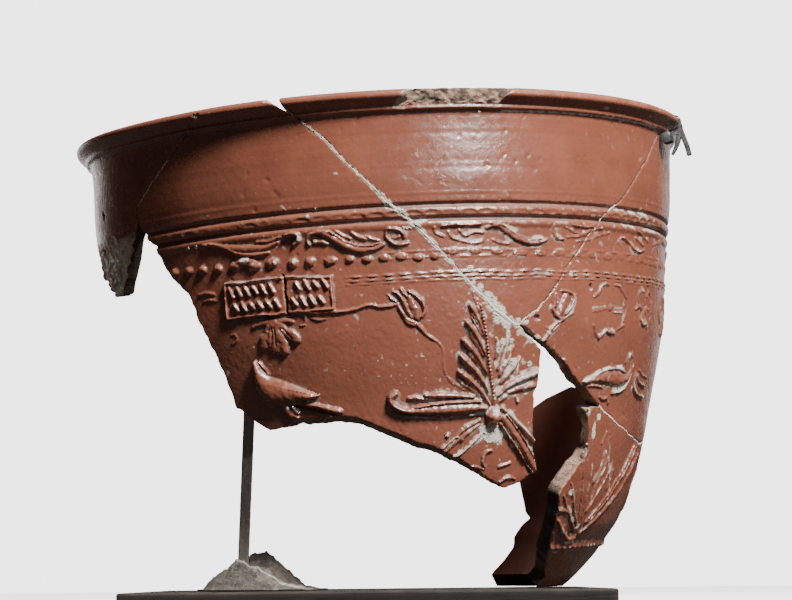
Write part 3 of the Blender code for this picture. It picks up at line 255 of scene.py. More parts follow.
LEAF_RIGHT = strokes(
    (1.6, 22.2, 58.6, 0.6, 24.6, 55.4, 0.8, 27.2, 51.9, 0.9, 30.2, 47.6, 0.7),
    (1.4, 22.4, 55.6, 1.4, 24.6, 51.2, 2, 27.2, 46.4, 2.1, 29.6, 41.8, 1.7, 31.2, 38.6, 1,
     31.6, 37.2, 0.4),
    (2.1, 23, 56.4, 0.5, 25.6, 51.8, 0.5, 28, 47.2, 0.5, 30.2, 42.6, 0.4, 31.5, 38.4, 0.3),
    (1.7, 21.9, 53.6, 0.4, 24, 49.4, 0.5, 26.6, 44.4, 0.5, 29, 40, 0.4, 31, 37, 0.3),
    (0.8, 20.3, 45.2, 0.4, 19.2, 44.9, 0.6, 18.4, 43.4, 0.7, 18.3, 41.4, 0.6, 18.9, 39.9, 0.4),
    (0.6, 22, 39.8, 0.4, 23.4, 40.3, 0.6, 25, 41, 0.5),
    (0.5, 15.8, 40.4, 0.3, 17.4, 39.9, 0.4, 18.8, 39.2, 0.3),
    (0.7, 22.6, 35, 0.4, 23.8, 36, 0.6, 25.2, 36.3, 0.5, 26.6, 35.8, 0.3))
SCROLLS = strokes(
    (0.8, -36, 116.8, 0.4, -33, 116, 0.7, -30, 114.6, 1.2, -26, 113.6, 1.3, -22.5, 113.6, 1,
     -20.2, 114.8, 0.5),
    (1.2, -34.6, 117, 0.3, -31.6, 115.4, 0.5, -28.4, 112.6, 0.6, -25, 111.6, 0.7,
     -22.2, 111.9, 0.5),
    (0.8, -24.4, 115.6, 0.4, -21.6, 115.4, 0.6, -19.6, 116.4, 0.4),
    (1.2, -28.8, 109.6, 0.9, -27.4, 110, 1.4, -25.4, 109.4, 1),
    (1.5, -18.6, 116.6, 0.5, -17.2, 117.2, 0.8, -16.2, 116.4, 0.9, -16.1, 114.8, 0.9,
     -17, 113.6, 0.6),
    (1.1, -14, 112.8, 0.5, -14.4, 114.4, 0.6, -13.8, 116, 0.6, -12.4, 116.8, 0.6),
    (1.3, -13.5, 116.4, 0.5, -12, 116.6, 0.9, -10.2, 115.2, 1.2, -8.4, 112.9, 1.3, -6.4, 111, 1.3,
     -4.2, 110.1, 1.2, -2.2, 110.4, 0.9, -0.5, 111.6, 0.6),
    (1.6, -12.4, 117.2, 0.3, -10, 116.4, 0.4, -7.8, 113.7, 0.4, -5.6, 111.8, 0.4, -3.4, 111.3, 0.4,
     -1.2, 112, 0.3),
    (1, -13.2, 114, 0.7, -11.8, 113.6, 0.8, -10.8, 113, 0.5),
    (0.9, -9, 116.6, 0.5, -7.8, 115, 0.6, -6.6, 114, 0.5),
    (0.9, -6.2, 115.8, 0.4, -5, 114.4, 0.6, -3.6, 113.4, 0.5),
    (0.8, -3.6, 114.4, 0.4, -2.6, 113.4, 0.5, -1.4, 112.9, 0.4),
    (1.2, 0.2, 116.2, 0.5, 0, 114.2, 0.6, 0.8, 112.4, 0.7, 2.2, 111.2, 0.8, 3.9, 111.6, 0.6),
    (1.2, 0.4, 116.4, 0.6, 1.8, 116, 0.8, 3, 115, 0.7, 3.3, 113.4, 0.5),
    (0.9, 1.4, 113.2, 0.6, 2.4, 113.8, 0.6),
    (0.6, 8.8, 116, 0.5, 9, 114.5, 0.5, 10.4, 113.2, 0.4),
    (0.7, 10.2, 116.4, 0.4, 12.5, 116.9, 0.5, 15, 116.6, 0.5, 17.5, 117, 0.5),
    (1, 18.6, 115.6, 0.5, 20.2, 116.4, 0.7, 22, 115.2, 0.9, 24, 113, 1, 26.4, 111.4, 1.1,
     28.8, 111, 1, 31.2, 112, 0.6),
    (1.3, 19.4, 117, 0.3, 21.8, 116.4, 0.35, 24.2, 113.8, 0.35, 27, 112, 0.35, 30, 112.2, 0.3),
    (0.7, 13.4, 115, 0.4, 14.6, 113.2, 0.6, 16.2, 114.4, 0.5, 18, 114.2, 0.5),
    (0.6, 11.4, 114.6, 0.4, 12, 112.8, 0.5, 13.4, 112, 0.4),
    (0.6, 14, 111.6, 0.5, 16, 110.9, 0.6, 17.8, 111.4, 0.5),
    (0.6, 20, 111.8, 0.4, 21.6, 110.8, 0.5, 23.2, 110.6, 0.4),
    (0.9, 32.8, 116.8, 0.4, 32.6, 114.8, 0.5, 33.4, 112.8, 0.6, 35.2, 112.2, 0.5),
    (0.6, 35.6, 116.2, 0.3, 38, 114.6, 0.4, 41, 113.8, 0.3),
    (0.7, 36.2, 113, 0.4, 39, 113.6, 0.5, 42, 115.4, 0.5, 45, 116.6, 0.4),
    (0.6, 37.2, 117, 0.3, 40, 116.6, 0.4, 43, 116.9, 0.3),
    (0.6, 38.4, 111.8, 0.3, 41.4, 112.4, 0.4, 44.4, 114, 0.4, 47.6, 115.2, 0.3),
    (1, 50.5, 112.2, 0.4, 51.2, 113.8, 0.5, 52.6, 114, 0.6, 54.4, 112.6, 0.7, 56.2, 110.9, 0.7,
     58.4, 110.2, 0.6, 61, 111, 0.5),
    (0.7, 56.8, 114.8, 0.5, 58.6, 113.6, 0.6, 60.6, 112.6, 0.4),
    (0.7, 57.6, 117, 0.4, 60, 115.6, 0.5, 63, 114.2, 0.4),
    (0.6, 66, 113.5, 0.5, 70, 115, 0.7, 74, 116, 0.7, 79, 115, 0.6),
    (0.8, 82.5, 112.6, 0.5, 83.3, 113.8, 0.6, 85, 113.8, 0.7, 87, 112.2, 0.8, 89, 110.8, 0.8,
     92, 110.4, 0.7, 95, 112, 0.6))
BUD_RIGHT = strokes(
    (0.8, 35.8, 94, 1, 35.4, 91.6, 1.7, 34.6, 89.2, 1.5, 34, 87.6, 0.8),
    (0.8, 30.2, 78.8, 0.3, 31.4, 80.8, 0.5, 32.6, 83.4, 0.5, 34, 85.4, 0.5, 36, 87, 0.5,
     37.8, 88.6, 0.4),
    (0.6, 31.4, 79.6, 0.3, 32.8, 82.4, 0.35, 34.6, 84.8, 0.3),
    (1, 32.2, 90.6, 0.4, 32.9, 88.8, 0.7, 33.9, 87, 0.6, 35.4, 86.4, 0.4),
    (1.2, 37.8, 94.8, 0.4, 37.6, 92.4, 0.6, 36.8, 90, 0.6, 35.6, 88, 0.4),
    (1, 33.4, 94.8, 0.3, 33.6, 92.6, 0.5, 33.2, 90.6, 0.4),
    (0.9, 34.6, 95.6, 0.4, 36, 95.4, 0.5, 37.6, 94.6, 0.4),
    (0.8, 35.2, 93.6, 0.4, 35.4, 91.4, 0.4, 34.8, 89.4, 0.3),
    (0.5, 31.3, 84, 0.4, 31.8, 83, 0.4))
BIRD_RIGHT = strokes(
    (1.3, 42.4, 66.4, 0.5, 44.5, 66.9, 0.9, 47, 67.6, 1.5, 50, 67.8, 2.3, 53, 67.6, 2.6,
     55.6, 67.4, 2, 57.2, 67.9, 1.3, 58.4, 69.6, 1, 58.8, 72, 0.9, 58.4, 74.6, 0.8, 57.6, 76, 0.4),
    (1.2, 45.5, 68.4, 0.4, 48, 70, 0.6, 51, 71, 0.7, 54, 70.9, 0.7, 56.2, 69.8, 0.5),
    (1, 52, 62.8, 0.4, 54.5, 63.2, 0.5, 56.8, 64.6, 0.6, 58.2, 66.8, 0.5, 59.2, 69.4, 0.5),
    (0.8, 44, 65, 0.4, 46.4, 65.2, 0.5, 48.6, 64.6, 0.4),
    (0.9, 48, 61.6, 0.5, 49.2, 60.8, 0.6, 50.8, 61.4, 0.5),
    (0.8, 49.8, 64, 0.4, 50.2, 62, 0.5, 51.4, 59.4, 0.4),
    (0.8, 56.2, 73, 0.5, 57, 75, 0.6, 58.6, 76.4, 0.4),
    (1.1, 61.6, 69.8, 0.6, 61.2, 67.6, 0.7, 61.8, 65.4, 0.8, 63.4, 63.4, 0.8, 66, 62.4, 0.6,
     69, 62.2, 0.4),
    (0.9, 62.8, 68.8, 0.5, 65, 66.6, 0.7, 69, 65.8, 0.5),
    (0.6, 63.4, 71, 0.4, 66, 69.4, 0.5, 70, 68.6, 0.4))
CALYX = strokes(
    (0.7, 53.4, 20.4, 0.4, 57.6, 26.6, 0.45, 61.6, 33, 0.45, 65.2, 39.4, 0.4, 68.6, 46, 0.3),
    (0.6, 54.6, 20.2, 0.3, 59.4, 26.8, 0.35, 64, 33.6, 0.35, 68, 40, 0.3, 71, 45.6, 0.25),
    (0.8, 52.8, 17, 0.5, 57, 20.6, 0.5, 61.6, 25.2, 0.5, 66.6, 31.4, 0.5, 71, 38, 0.45,
     74.6, 44, 0.3),
    (0.6, 50.4, 20.4, 0.4, 48.6, 26.6, 0.45, 47.2, 32.6, 0.4, 46.2, 37.6, 0.3),
    (0.7, 50, 19.4, 0.4, 46.8, 24.6, 0.5, 44.6, 29.4, 0.5, 43, 33.6, 0.3),
    (0.7, 49.4, 18.4, 0.5, 46, 22.4, 0.6, 43.4, 26, 0.6, 41.4, 29.6, 0.4),
    (0.6, 51, 22, 0.35, 50, 28.4, 0.4, 49.4, 34, 0.4, 49, 39.6, 0.3),
    (0.7, 51.8, 24, 0.4, 53.8, 29.6, 0.5, 55.8, 34.6, 0.5, 57.6, 39.6, 0.3),
    (0.8, 51, 33.5, 0.4, 52.2, 37, 0.5, 53.2, 40.5, 0.55, 53.2, 43.7, 0.4),
    (0.6, 52, 28, 0.3, 52.6, 33, 0.35, 54.4, 38.4, 0.4, 55.2, 42.6, 0.3),
    (0.6, 51, 46, 0.3, 51.8, 48.5, 0.5, 52.4, 50.5, 0.3),
    (0.6, 53.6, 50, 0.3, 54.4, 46.4, 0.4, 55, 42, 0.3),
    (0.6, 57.4, 40.4, 0.3, 58.6, 36.4, 0.45, 58.2, 31.4, 0.4),
    (0.8, 41, 24.8, 0.5, 43.5, 24.6, 0.7, 45.3, 23.4, 0.7, 47, 21, 0.6),
    (1, 42, 21.5, 0.6, 44, 19, 0.8, 47, 16.5, 0.8, 49.5, 15.2, 0.8, 52, 15.4, 0.7),
    (0.5, 80, 26, 0.7, 78, 32, 0.9, 80, 38, 0.5),
    (0.5, 86, 24, 0.7, 90, 31, 1, 97, 39, 0.5),
    (0.6, 90, 18.4, 0.7, 98, 25, 1, 109, 34, 0.5),
    (0.8, 112, 18, 0.9, 108, 27, 1.1, 110, 36, 0.5),
    (0.8, 117, 18, 0.9, 122, 28, 1.1, 130, 38, 0.5))
# Two worn rosettes of which only the petals' outlines are left.
PETALS = strokes(
    (0.84, 43.2, 94, 0.54, 44.6, 95.4, 0.68, 45.2, 97.2, 0.68, 46.3, 98.4, 0.68, 47.6, 98.2, 0.54),
    (0.84, 49.6, 98.2, 0.54, 51.2, 98, 0.68, 52.2, 96.4, 0.68, 53.8, 94.2, 0.54),
    (0.84, 53.2, 93.4, 0.54, 54, 91, 0.68, 53.6, 88.5, 0.68, 53.1, 86.4, 0.54),
    (0.7, 53.6, 85.2, 0.41, 52.2, 84.4, 0.54, 51, 83.4, 0.41),
    (1.1, 50.2, 82.2, 0.54, 48.6, 82.7, 0.94, 47.2, 83.2, 0.81, 46.4, 82, 0.68, 45.4, 80.7, 0.81,
     44.4, 81.8, 0.68, 43.4, 84.8, 0.41),
    (0.5, 42.8, 89.2, 0.35, 45, 89.6, 0.4, 47.2, 90.4, 0.35),
    (0.4, 43.4, 91.2, 0.3, 46.4, 91.6, 0.35),
    (0.4, 49.2, 91, 0.35, 53.2, 91.2, 0.3),
    (0.5, 49.2, 89.2, 0.35, 52.8, 89.3, 0.35),
    (0.84, 57.8, 91, 0.54, 59.2, 91.8, 0.68, 60.4, 91, 0.54),
    (0.84, 58.8, 93.4, 0.41, 58.6, 95.4, 0.68, 60, 97, 0.68, 61.4, 97.2, 0.54),
    (0.84, 62.8, 95.6, 0.54, 63.9, 97, 0.68, 64.8, 96.6, 0.41),
    (0.98, 60.8, 89.4, 0.41, 60.2, 87.8, 0.68, 61.2, 86.4, 0.81, 62.6, 86.2, 0.81, 63.6, 86.8, 0.68,
     64.2, 85.4, 0.54),
    (0.56, 62.2, 91, 0.81, 64.4, 91.4, 0.68),
    (0.7, 66, 94, 0.54, 66.6, 90.4, 0.68))
# A raised line that trails from the stamp, and the flaws of the mould beside it.
TRAIL = strokes(
    (1, -19, 92.4, 0.5, -15, 91.6, 0.7, -11, 91.4, 0.6, -8.4, 91.2, 0.6, -5.8, 92, 0.55,
     -4, 92.8, 0.55, -2, 92, 0.5, -0.2, 92, 0.5, 1.6, 92.6, 0.4),
    (0.6, -38.6, 101, 0.5, -36.8, 101.2, 0.7, -35, 100.6, 0.5),
    (0.5, -37.6, 98.6, 0.4, -36.2, 98.9, 0.6, -34.6, 98.4, 0.4))
STROKES = (PETALS + BIRD + FAN + BUD_LEFT + PALM + LEAF_LEFT + LEAF_RIGHT + SCROLLS + BUD_RIGHT
           + BIRD_RIGHT + CALYX + TRAIL)
# Sunk lines and pits, by depth.
CUTS = strokes(
    (1.5, -19.7, 104.4, 0.35, -19.3, 101.6, 0.45, -19.6, 99, 0.35, -19.2, 96.2, 0.45,
     -19.5, 93.6, 0.35, -19.3, 91.4, 0.4),
    (0.4, -22.9, 87.8, 0.25, -23.1, 84, 0.3, -23.6, 80.6, 0.35),
    (0.35, -22.4, 87.8, 0.25, -22.3, 84.6, 0.3, -22.5, 82.2, 0.3),
    (0.4, -21.4, 87.6, 0.25, -20.4, 84.6, 0.3, -19.7, 81.6, 0.4),
    (0.35, -20.9, 87.6, 0.25, -19.6, 85.4, 0.3, -18.9, 84, 0.3),
    (0.3, -23.4, 87.6, 0.25, -24, 85.4, 0.3, -24.4, 83.6, 0.3),
    (0.5, -20, 62.3, 0.4, -16, 60.8, 0.4, -12, 58.9, 0.4),
    (0.6, 22.5, 53, 0.5, 25, 48.6, 0.6, 27.6, 43.6, 0.6, 30, 37.4, 0.5),
    (0.5, 16.5, 57.4, 0.5, 12, 57.4, 0.6, 7, 57.2, 0.5),
    (1.1, 26, 83.9, 0.5, 27.4, 82, 0.9, 28.6, 80.6, 0.5),
    (1, 42.3, 96.6, 0.8, 42.3, 97.4, 0.8),
    (1, 28.9, 87, 0.9, 29.2, 86.9, 0.9),
    (0.8, 26.3, 86.4, 0.6, 26.7, 86.4, 0.6),
    (1.1, 49, 16.6, 0.8, 50, 16.9, 0.8),
    (0.8, -19.3, 103.4, 0.4, -19.5, 98, 0.45, -19.4, 92.4, 0.4),
    (0.7, 27.2, 63.4, 0.6, 27.8, 63.4, 0.6),
    (0.6, -33.1, 158.6, 0.8, -32.5, 158.6, 0.8),
    (0.9, -68.9, 133.4, 0.9, -68.4, 132.2, 0.9))
# Round bosses: azimuth, height, half width across and up, rise.
BOSSES = [
    (20.1, 56, 2.9, 3.1, 2.9), (10.5, 50.6, 0.9, 0.9, 0.8), (12.6, 50.3, 0.8, 0.8, 0.7),
    (13.5, 49.2, 0.8, 0.8, 0.8), (13.7, 52, 0.7, 0.7, 0.7), (14.6, 53, 0.6, 0.6, 0.7),
    (48.3, 90.8, 1.4, 1.3, 0.7), (62.6, 90.6, 1.4, 1.3, 0.7)]
# Flowers: centre, the radius to the notches and to the petals' ends, petals, rise.
ROSETTES = [(77.6, 90.4, 5.4, 7.6, 6, 0.6), (94, 90.2, 5.4, 7.6, 6, 0.6)]
# Along the row: azimuth, height, half width, half height, rise, how hollow the bead is.
BEAD_ROW = [
    (-45, 109.4, 1.9, 1.5, 1.2, 0), (-25, 108.4, 2.3, 1.6, 1.3, 0), (-13, 107.7, 2, 1.5, 1.2, 0),
    (-7, 107.2, 1.6, 1.2, 1, 0.1), (8, 107, 1.6, 1.1, 0.9, 0.2), (12, 108.3, 2.2, 1.2, 0.7, 0.3),
    (26, 107.7, 2.5, 1.1, 0.6, 0.35), (60, 107.4, 2.5, 1.1, 0.5, 0.35)]
BEADS = (
    [-44.3, -40.5, -37, -33.3, -29.4, -25.4, -21.6, -17.5, -14.2, -10.4, -6.8, -3.7, -0.6,
     2.5, 5.7, 8.7, 12, 16.3, 20.8, 25.4, 30, 34.2],
    38.4, 4.3, 112)
# Thin beaded lines under the frieze: height, half width, rise, bead length.
BEAD_LINES = [
    (101.9, 0.4, 0.55, 4.9), (100.6, 0.4, 0.5, 5.3), (99.5, 0.35, 0.3, 7.1),
    (108.9, 0.35, 0.3, 8.3), (106.9, 0.35, 0.25, 6.1)]
BEAD_LINES_FROM = -8.0
# The row of slanted beads round the foot of the calyx.
FOOT_BEADS = (12.6, 1.3, 2.6, 0.55)
# Notches between the wheel lines: height, half height, pitch in degrees, depth.
NOTCHES = (121, 0.8, 3.4, 0.6)
# Stamp: a raised field with a worn rim, filled with two rows of slanting strokes, no letters.
STAMP = (-32.3, -10.2, 91.8, 103.9)
STAMP_RISE, STAMP_FRAME, STAMP_EDGE = 0.75, 0.7, 1.0
STAMP_ROWS = [(100.4, -30.6), (95.5, -29.8)]
STAMP_PITCH, STAMP_LEAN, STAMP_STROKE, STAMP_GAP = 1.72, 0.42, (1.2, 0.6), (-20.9, -18.2)

# Chalky deposit and plaster: azimuth, height, half width across and up.
PALE_SPOTS = [
    (20.4, 50, 3.9, 3.1), (18.4, 51.6, 1.6, 1.4), (20.6, 57.4, 1.5, 1.3), (21.1, 87.8, 2.5, 2.6),
    (19.8, 91, 1.9, 2.2), (18.7, 93.6, 1.4, 1.8), (22.3, 85.4, 1.7, 2), (22.8, 82.9, 0.7, 1.4),
    (17.2, 96.4, 1.1, 1.5), (24.6, 85.2, 1.2, 0.7), (16, 98.8, 0.6, 1), (5.4, 117.4, 1.6, 1.3),
    (6.8, 118.6, 1.3, 0.5), (3.8, 116.4, 1.8, 0.4), (2.6, 121.4, 1.2, 1.4), (0.6, 124, 0.9, 1.3),
    (-27.2, 110, 1.6, 1.2), (21.8, 79.4, 0.8, 1.4), (20.6, 77.6, 0.6, 2.2), (23.6, 79.6, 0.8, 0.9),
    (22.2, 72.6, 0.9, 1.3), (28, 72.2, 0.7, 0.8), (24, 73.6, 1.3, 0.6), (25.2, 71.2, 0.5, 1.5),
    (28.6, 68.8, 1.2, 0.8), (22.6, 62.4, 0.8, 0.7), (25.6, 61, 0.5, 1), (26.6, 85.4, 0.9, 0.6),
    (25, 86.2, 1, 0.6), (29.4, 80.6, 1.4, 0.7), (-40.8, 121, 0.5, 0.5), (-14, 122, 0.6, 0.5),
    (-12.4, 124, 0.6, 0.5), (-40, 116.6, 0.8, 0.5), (-38, 116.6, 0.7, 0.5), (-13, 113.6, 0.8, 0.6),
    (-16, 115, 0.6, 1.1), (-21, 108.6, 0.5, 0.8), (-17.2, 108.4, 0.5, 0.9), (54, 71.4, 1.6, 0.7),
    (57.2, 74.6, 0.6, 1.6), (60, 72.2, 0.6, 0.6), (36, 73.6, 0.8, 0.6), (47.6, 50, 1, 3),
    (48.6, 55, 1.2, 1.4), (50.6, 19, 1.7, 0.9), (43.6, 30.4, 0.9, 1.4), (42.6, 40.4, 1, 0.8),
    (45, 56.6, 1, 1.6), (37, 101, 0.6, 0.8), (33, 96, 0.5, 0.7), (10.4, 50.6, 0.6, 0.6),
    (12.6, 50, 0.6, 0.6), (45.6, 44.6, 1.2, 3), (15.4, 103.2, 1, 0.5)]
# Chalky streaks, by strength. The streak along the lip's foot is a painted highlight.
PALE_RUNS = strokes(
    (0.9, 48, 123, 0.4, 52, 123.1, 0.4),
    (0.8, 54, 122.7, 0.4, 56, 122.7, 0.4),
    (0.8, 58, 123, 0.4, 62, 123, 0.4),
    (0.8, 52, 118.2, 0.4, 56, 118, 0.4),
    (0.8, 61, 118, 0.5, 70, 118, 0.4),
    (0.7, 9.3, 46.5, 0.5, 12.4, 50, 0.5),
    (0.8, 11.3, 43.2, 0.6, 14.6, 46.2, 0.6, 16.6, 48.6, 0.8, 18.4, 49.4, 1),
    (0.7, 23, 65.6, 0.6, 26, 67.4, 0.7, 29, 69, 0.8),
    (0.7, 21.2, 66.8, 0.5, 23.4, 70.6, 0.6, 25.4, 73.8, 0.5),
    (0.6, 24.2, 55.4, 0.4, 27, 52.4, 0.5, 29, 49.6, 0.4),
    (0.5, 55, 42, 0.4, 60, 30.6, 0.3),
    # Painted highlight: the thin lit ridge at the lip's foot, drawn as a pale streak.
    (0.8, 22, 152.6, 0.3, 40, 153, 0.3, 64, 153.2, 0.3),
    (0.8, 20.5, 61.5, 0.4, 22, 63.5, 0.5, 24.4, 65.6, 0.5),
    (0.7, 21.4, 70.6, 0.4, 21.9, 74.4, 0.5, 22.6, 78.8, 0.4),
    (0.8, 42.6, 66.8, 0.5, 46, 69, 0.5, 50, 70.6, 0.6, 55, 71, 0.6),
    (0.7, 53, 63.2, 0.4, 56.6, 64.6, 0.5, 58.8, 68, 0.5, 59, 73, 0.5),
    (0.7, 61.6, 69, 0.5, 61.6, 66, 0.6, 63.6, 63.4, 0.5),
    (0.6, 43, 90.4, 0.3, 46.6, 91, 0.3),
    (0.6, 49.6, 90.6, 0.3, 52.6, 90.8, 0.3),
    (0.6, 49.8, 89.2, 0.3, 52.6, 89.2, 0.3),
    (0.5, -30.6, 103.2, 0.4, -22, 103, 0.3, -12, 102.6, 0.3))
# Bare clay shows where the lip is broken and in small chips: azimuth, height, half widths.
RAW_SPOTS = [
    (-18.6, 160.8, 2.2, 2.2), (-33, 158.4, 1, 1.1), (70.4, 154.6, 1.6, 1.6),
    (75.2, 158.2, 1.4, 1.6), (20.4, 64.2, 0.7, 0.7), (-8.4, 134.6, 0.8, 0.5),
    (44.2, 155.8, 1.2, 0.5), (58.6, 156, 0.9, 0.5), (-101, 146, 1.6, 3)]

# Plaster in the joints: azimuth, height, half width of the bead that stands out of the joint.
SEAM_B = [
    (-13.8, 152, 0.08), (-10.1, 145.9, 0.1), (-6.6, 138.6, 0.12), (-2.9, 131.6, 0.2),
    (0.2, 125.4, 0.35), (2.2, 121.8, 0.6), (5.8, 116.4, 0.5), (10.1, 108.2, 0.28),
    (13.9, 100.9, 0.35), (17.7, 93.9, 0.5), (20.8, 88.9, 0.8), (24.4, 84.9, 0.5), (26, 83.2, 0.1)]
SEAM_C = [(49.6, 124.6, 0.08), (48, 123.4, 0.3), (46, 121, 0.34), (44.4, 118.6, 0.1)]
SEAM_C_LOW = [(30.6, 92.2, 0.06), (29.5, 90, 0.16), (27.2, 87.4, 0.3), (25, 84.6, 0.4)]
SEAM_D = [
    (48.5, 58.4, 0.5), (51.7, 55.9, 0.45), (54, 54.1, 0.5), (58, 51.8, 0.35), (62, 50, 0.3),
    (66, 48.4, 0.35), (70, 47.1, 0.3), (76, 46.3, 0.3), (84, 47.6, 0.3), (94, 52.4, 0.3),
    (104, 57.8, 0.3), (112, 62, 0.3)]
SEAM_A = [(-42.5, 146.3, 0.1), (-46.5, 141.2, 0.16), (-50, 137, 0.16), (-53, 132.8, 0.08)]


# ---- chance that repeats
# Large odd numbers that stir the bits.
STIRRERS = (374761393, 668265263, 1013904223, 1274126177)


def lattice(i, j, seed):
    """A fixed random number from -1 to 1 for each whole-number place."""
    by_column, by_row, by_seed, again = STIRRERS
    mixed = (i * by_column + j * by_row + seed * by_seed) & 0xFFFFFFFF
    mixed = ((mixed ^ (mixed >> 13)) * again) & 0xFFFFFFFF
    return ((mixed ^ (mixed >> 16)) & 0xFFFF) / 32767.5 - 1.0


def rough(x, y, cell, seed):
    """Smooth noise from -1 to 1, with bumps about one cell wide. Each use has its own seed."""
    turn = 0.6 + 1.7 * seed
    u = (np.cos(turn) * x - np.sin(turn) * y) / cell
    v = (np.sin(turn) * x + np.cos(turn) * y) / cell
    i, j = np.floor(u).astype(np.int64), np.floor(v).astype(np.int64)
    fu, fv = u - i, v - j
    fu, fv = fu * fu * (3 - 2 * fu), fv * fv * (3 - 2 * fv)
    low = lattice(i, j, seed) * (1 - fu) + lattice(i + 1, j, seed) * fu
    high = lattice(i, j + 1, seed) * (1 - fu) + lattice(i + 1, j + 1, seed) * fu
    return low * (1 - fv) + high * fv


def layered(x, y, cell, seed, layers=3, fade=0.5):
    total, weight = 0.0, 1.0
    for layer in range(layers):
        total = total + weight * rough(x, y, cell / 2 ** layer, seed + 11 * layer)
        weight *= fade
    return total


def ramp(value, low, high):
    """0 below low, 1 above high, eased between."""
    share = np.clip((value - low) / (high - low), 0.0, 1.0)
    return share * share * (3 - 2 * share)


# ---- the wall's profile
def steady_curve(knots, values, at):
    """A curve through these values that never overshoots between them."""
    step = np.diff(knots)
    slope = np.diff(values) / step
    tangent = np.zeros(len(knots))
    same = slope[:-1] * slope[1:] > 0
    mean = 2 * slope[:-1] * slope[1:] / np.where(same, slope[:-1] + slope[1:], 1.0)
    tangent[1:-1] = np.where(same, mean, 0.0)
    tangent[0], tangent[-1] = slope[0], slope[-1]
    i = np.clip(np.searchsorted(knots, at) - 1, 0, len(step) - 1)
    t = (at - knots[i]) / step[i]
    return (values[i] * (1 + 2 * t) * (1 - t) ** 2 + tangent[i] * step[i] * t * (1 - t) ** 2
            + values[i + 1] * t * t * (3 - 2 * t) - tangent[i + 1] * step[i] * t * t * (1 - t))


PROFILE = [(s, r, s) for s, r in WALL] + LIP
RUN_POINTS = 3441
RUN = np.linspace(PROFILE[0][0], LIP_TOP, RUN_POINTS)
RUN_KEYS, *RUN_VALUES = np.array(PROFILE, float).T
RUN_R, RUN_Z = (steady_curve(RUN_KEYS, values, RUN) for values in RUN_VALUES)
RUN_OUT, RUN_UP = np.gradient(RUN_Z, RUN), -np.gradient(RUN_R, RUN)
RUN_LONG = np.hypot(RUN_OUT, RUN_UP)
RUN_OUT, RUN_UP = RUN_OUT / RUN_LONG, RUN_UP / RUN_LONG


def outer_point(s):
    return np.interp(s, RUN, RUN_R), np.interp(s, RUN, RUN_Z)


def outward(s):
    return np.interp(s, RUN, RUN_OUT), np.interp(s, RUN, RUN_UP)


def inner_point(s):
    """Radius and height of the inner face: the wall's thickness in, and straight under the lip."""
    low = np.minimum(s, UNDER_LIP)
    thick = np.interp(low, *zip(*THICK))
    (radius, height), (out, up) = outer_point(low), outward(low)
    radius, height = radius - thick * out, height - thick * up
    share = np.clip((s - UNDER_LIP) / (LIP_TOP - UNDER_LIP), 0.0, 1.0)
    return radius + share * (INNER_LIP[0] - radius), height + share * (INNER_LIP[1] - height)


def map_x(azimuth):
    return radians(azimuth) * MAP_R


def azimuth_of(x):
    return np.degrees(x / MAP_R)


def swing(x, s):
    """How far the left end has moved out."""
    high, low = LEFT_FADE
    share = ramp((azimuth_of(x) - high) / (low - high), 0.0, 1.0)
    return LEFT_SWING * np.maximum(0.0, LEFT_HINGE - s) * share


def wrapped(x, radius, height):
    """Places round the bowl's axis, in metres in the row frame."""
    turn = x / MAP_R
    height = height + LEFT_LIFT * ramp(-np.degrees(turn), -LIFT_FADE[0], -LIFT_FADE[1])
    local = np.stack([radius * np.sin(turn), -radius * np.cos(turn), height], axis=-1) * MM
    return local @ np.array(VASE_TURN).T + np.array(VASE_FOOT)


def on_wall(x, y, lift):
    """Places on the outer face, this far out from the bare wall."""
    radius, height = outer_point(y)
    out, up = outward(y)
    return wrapped(x, radius + swing(x, y) + lift * out, height + lift * up)


# ---- relief
def to_map(point):
    return (map_x(point[0]), *point[1:])


def around(x, y, azimuth, height, wide, tall):
    """Which points lie in a box about this place, and how far they are from its middle."""
    dx, dy = x - map_x(azimuth), y - height
    at = np.flatnonzero((np.abs(dx) < wide) & (np.abs(dy) < tall))
    return at, dx[at], dy[at]


def curved(line, parts=5):
    """More points on a smooth curve through these ones."""
    return smoothed([to_map(p) for p in line], parts)


def spline(padded, parts):
    """A smooth curve through all but the first and last of these rows."""
    result = [padded[1]]
    for i in range(1, len(padded) - 2):
        before, one, two, after = padded[i - 1:i + 3]
        for k in range(1, parts + 1):
            t = k / parts
            result.append(0.5 * (2 * one + (two - before) * t
                                 + (2 * before - 5 * one + 4 * two - after) * t * t
                                 + (3 * one - before - 3 * two + after) * t ** 3))
    return result


def smoothed(line, parts=5):
    points = np.array(line, float)
    if len(points) < 3:
        return points
    padded = np.vstack([2 * points[0] - points[1], points, 2 * points[-1] - points[-2]])
    result = np.array(spline(padded, parts))
    result[:, 2:] = np.maximum(result[:, 2:], 0.15)
    return result


def near(x, y, line, reach):
    """Which points lie in the line's box, grown by this much."""
    low, high = line.min(axis=0), line.max(axis=0)
    return np.flatnonzero((x > low[0] - reach) & (x < high[0] + reach)
                          & (y > low[1] - reach) & (y < high[1] + reach))


def along_line(x, y, line):
    """Distance to the line, its half width there, and how far along it that is."""
    away = np.full(x.shape, 1e9)
    wide, far = np.ones(x.shape), np.zeros(x.shape)
    walked = 0.0
    for (ax, ay, aw), (bx, by, bw) in zip(line[:, :3], line[1:, :3]):
        long = max(1e-6, hypot(bx - ax, by - ay))
        share = np.clip(((x - ax) * (bx - ax) + (y - ay) * (by - ay)) / long ** 2, 0.0, 1.0)
        here = np.hypot(x - ax - share * (bx - ax), y - ay - share * (by - ay))
        half = aw + share * (bw - aw)
        closer = here / half < away / wide
        away, wide = np.where(closer, here, away), np.where(closer, half, wide)
        far = np.where(closer, walked + share * long, far)
        walked += long
    return away, wide, far


def rounded(share, power=0.7):
    """The section of a stroke: 1 on its middle line, 0 at its edge."""
    return np.maximum(0.0, 1.0 - share * share) ** power


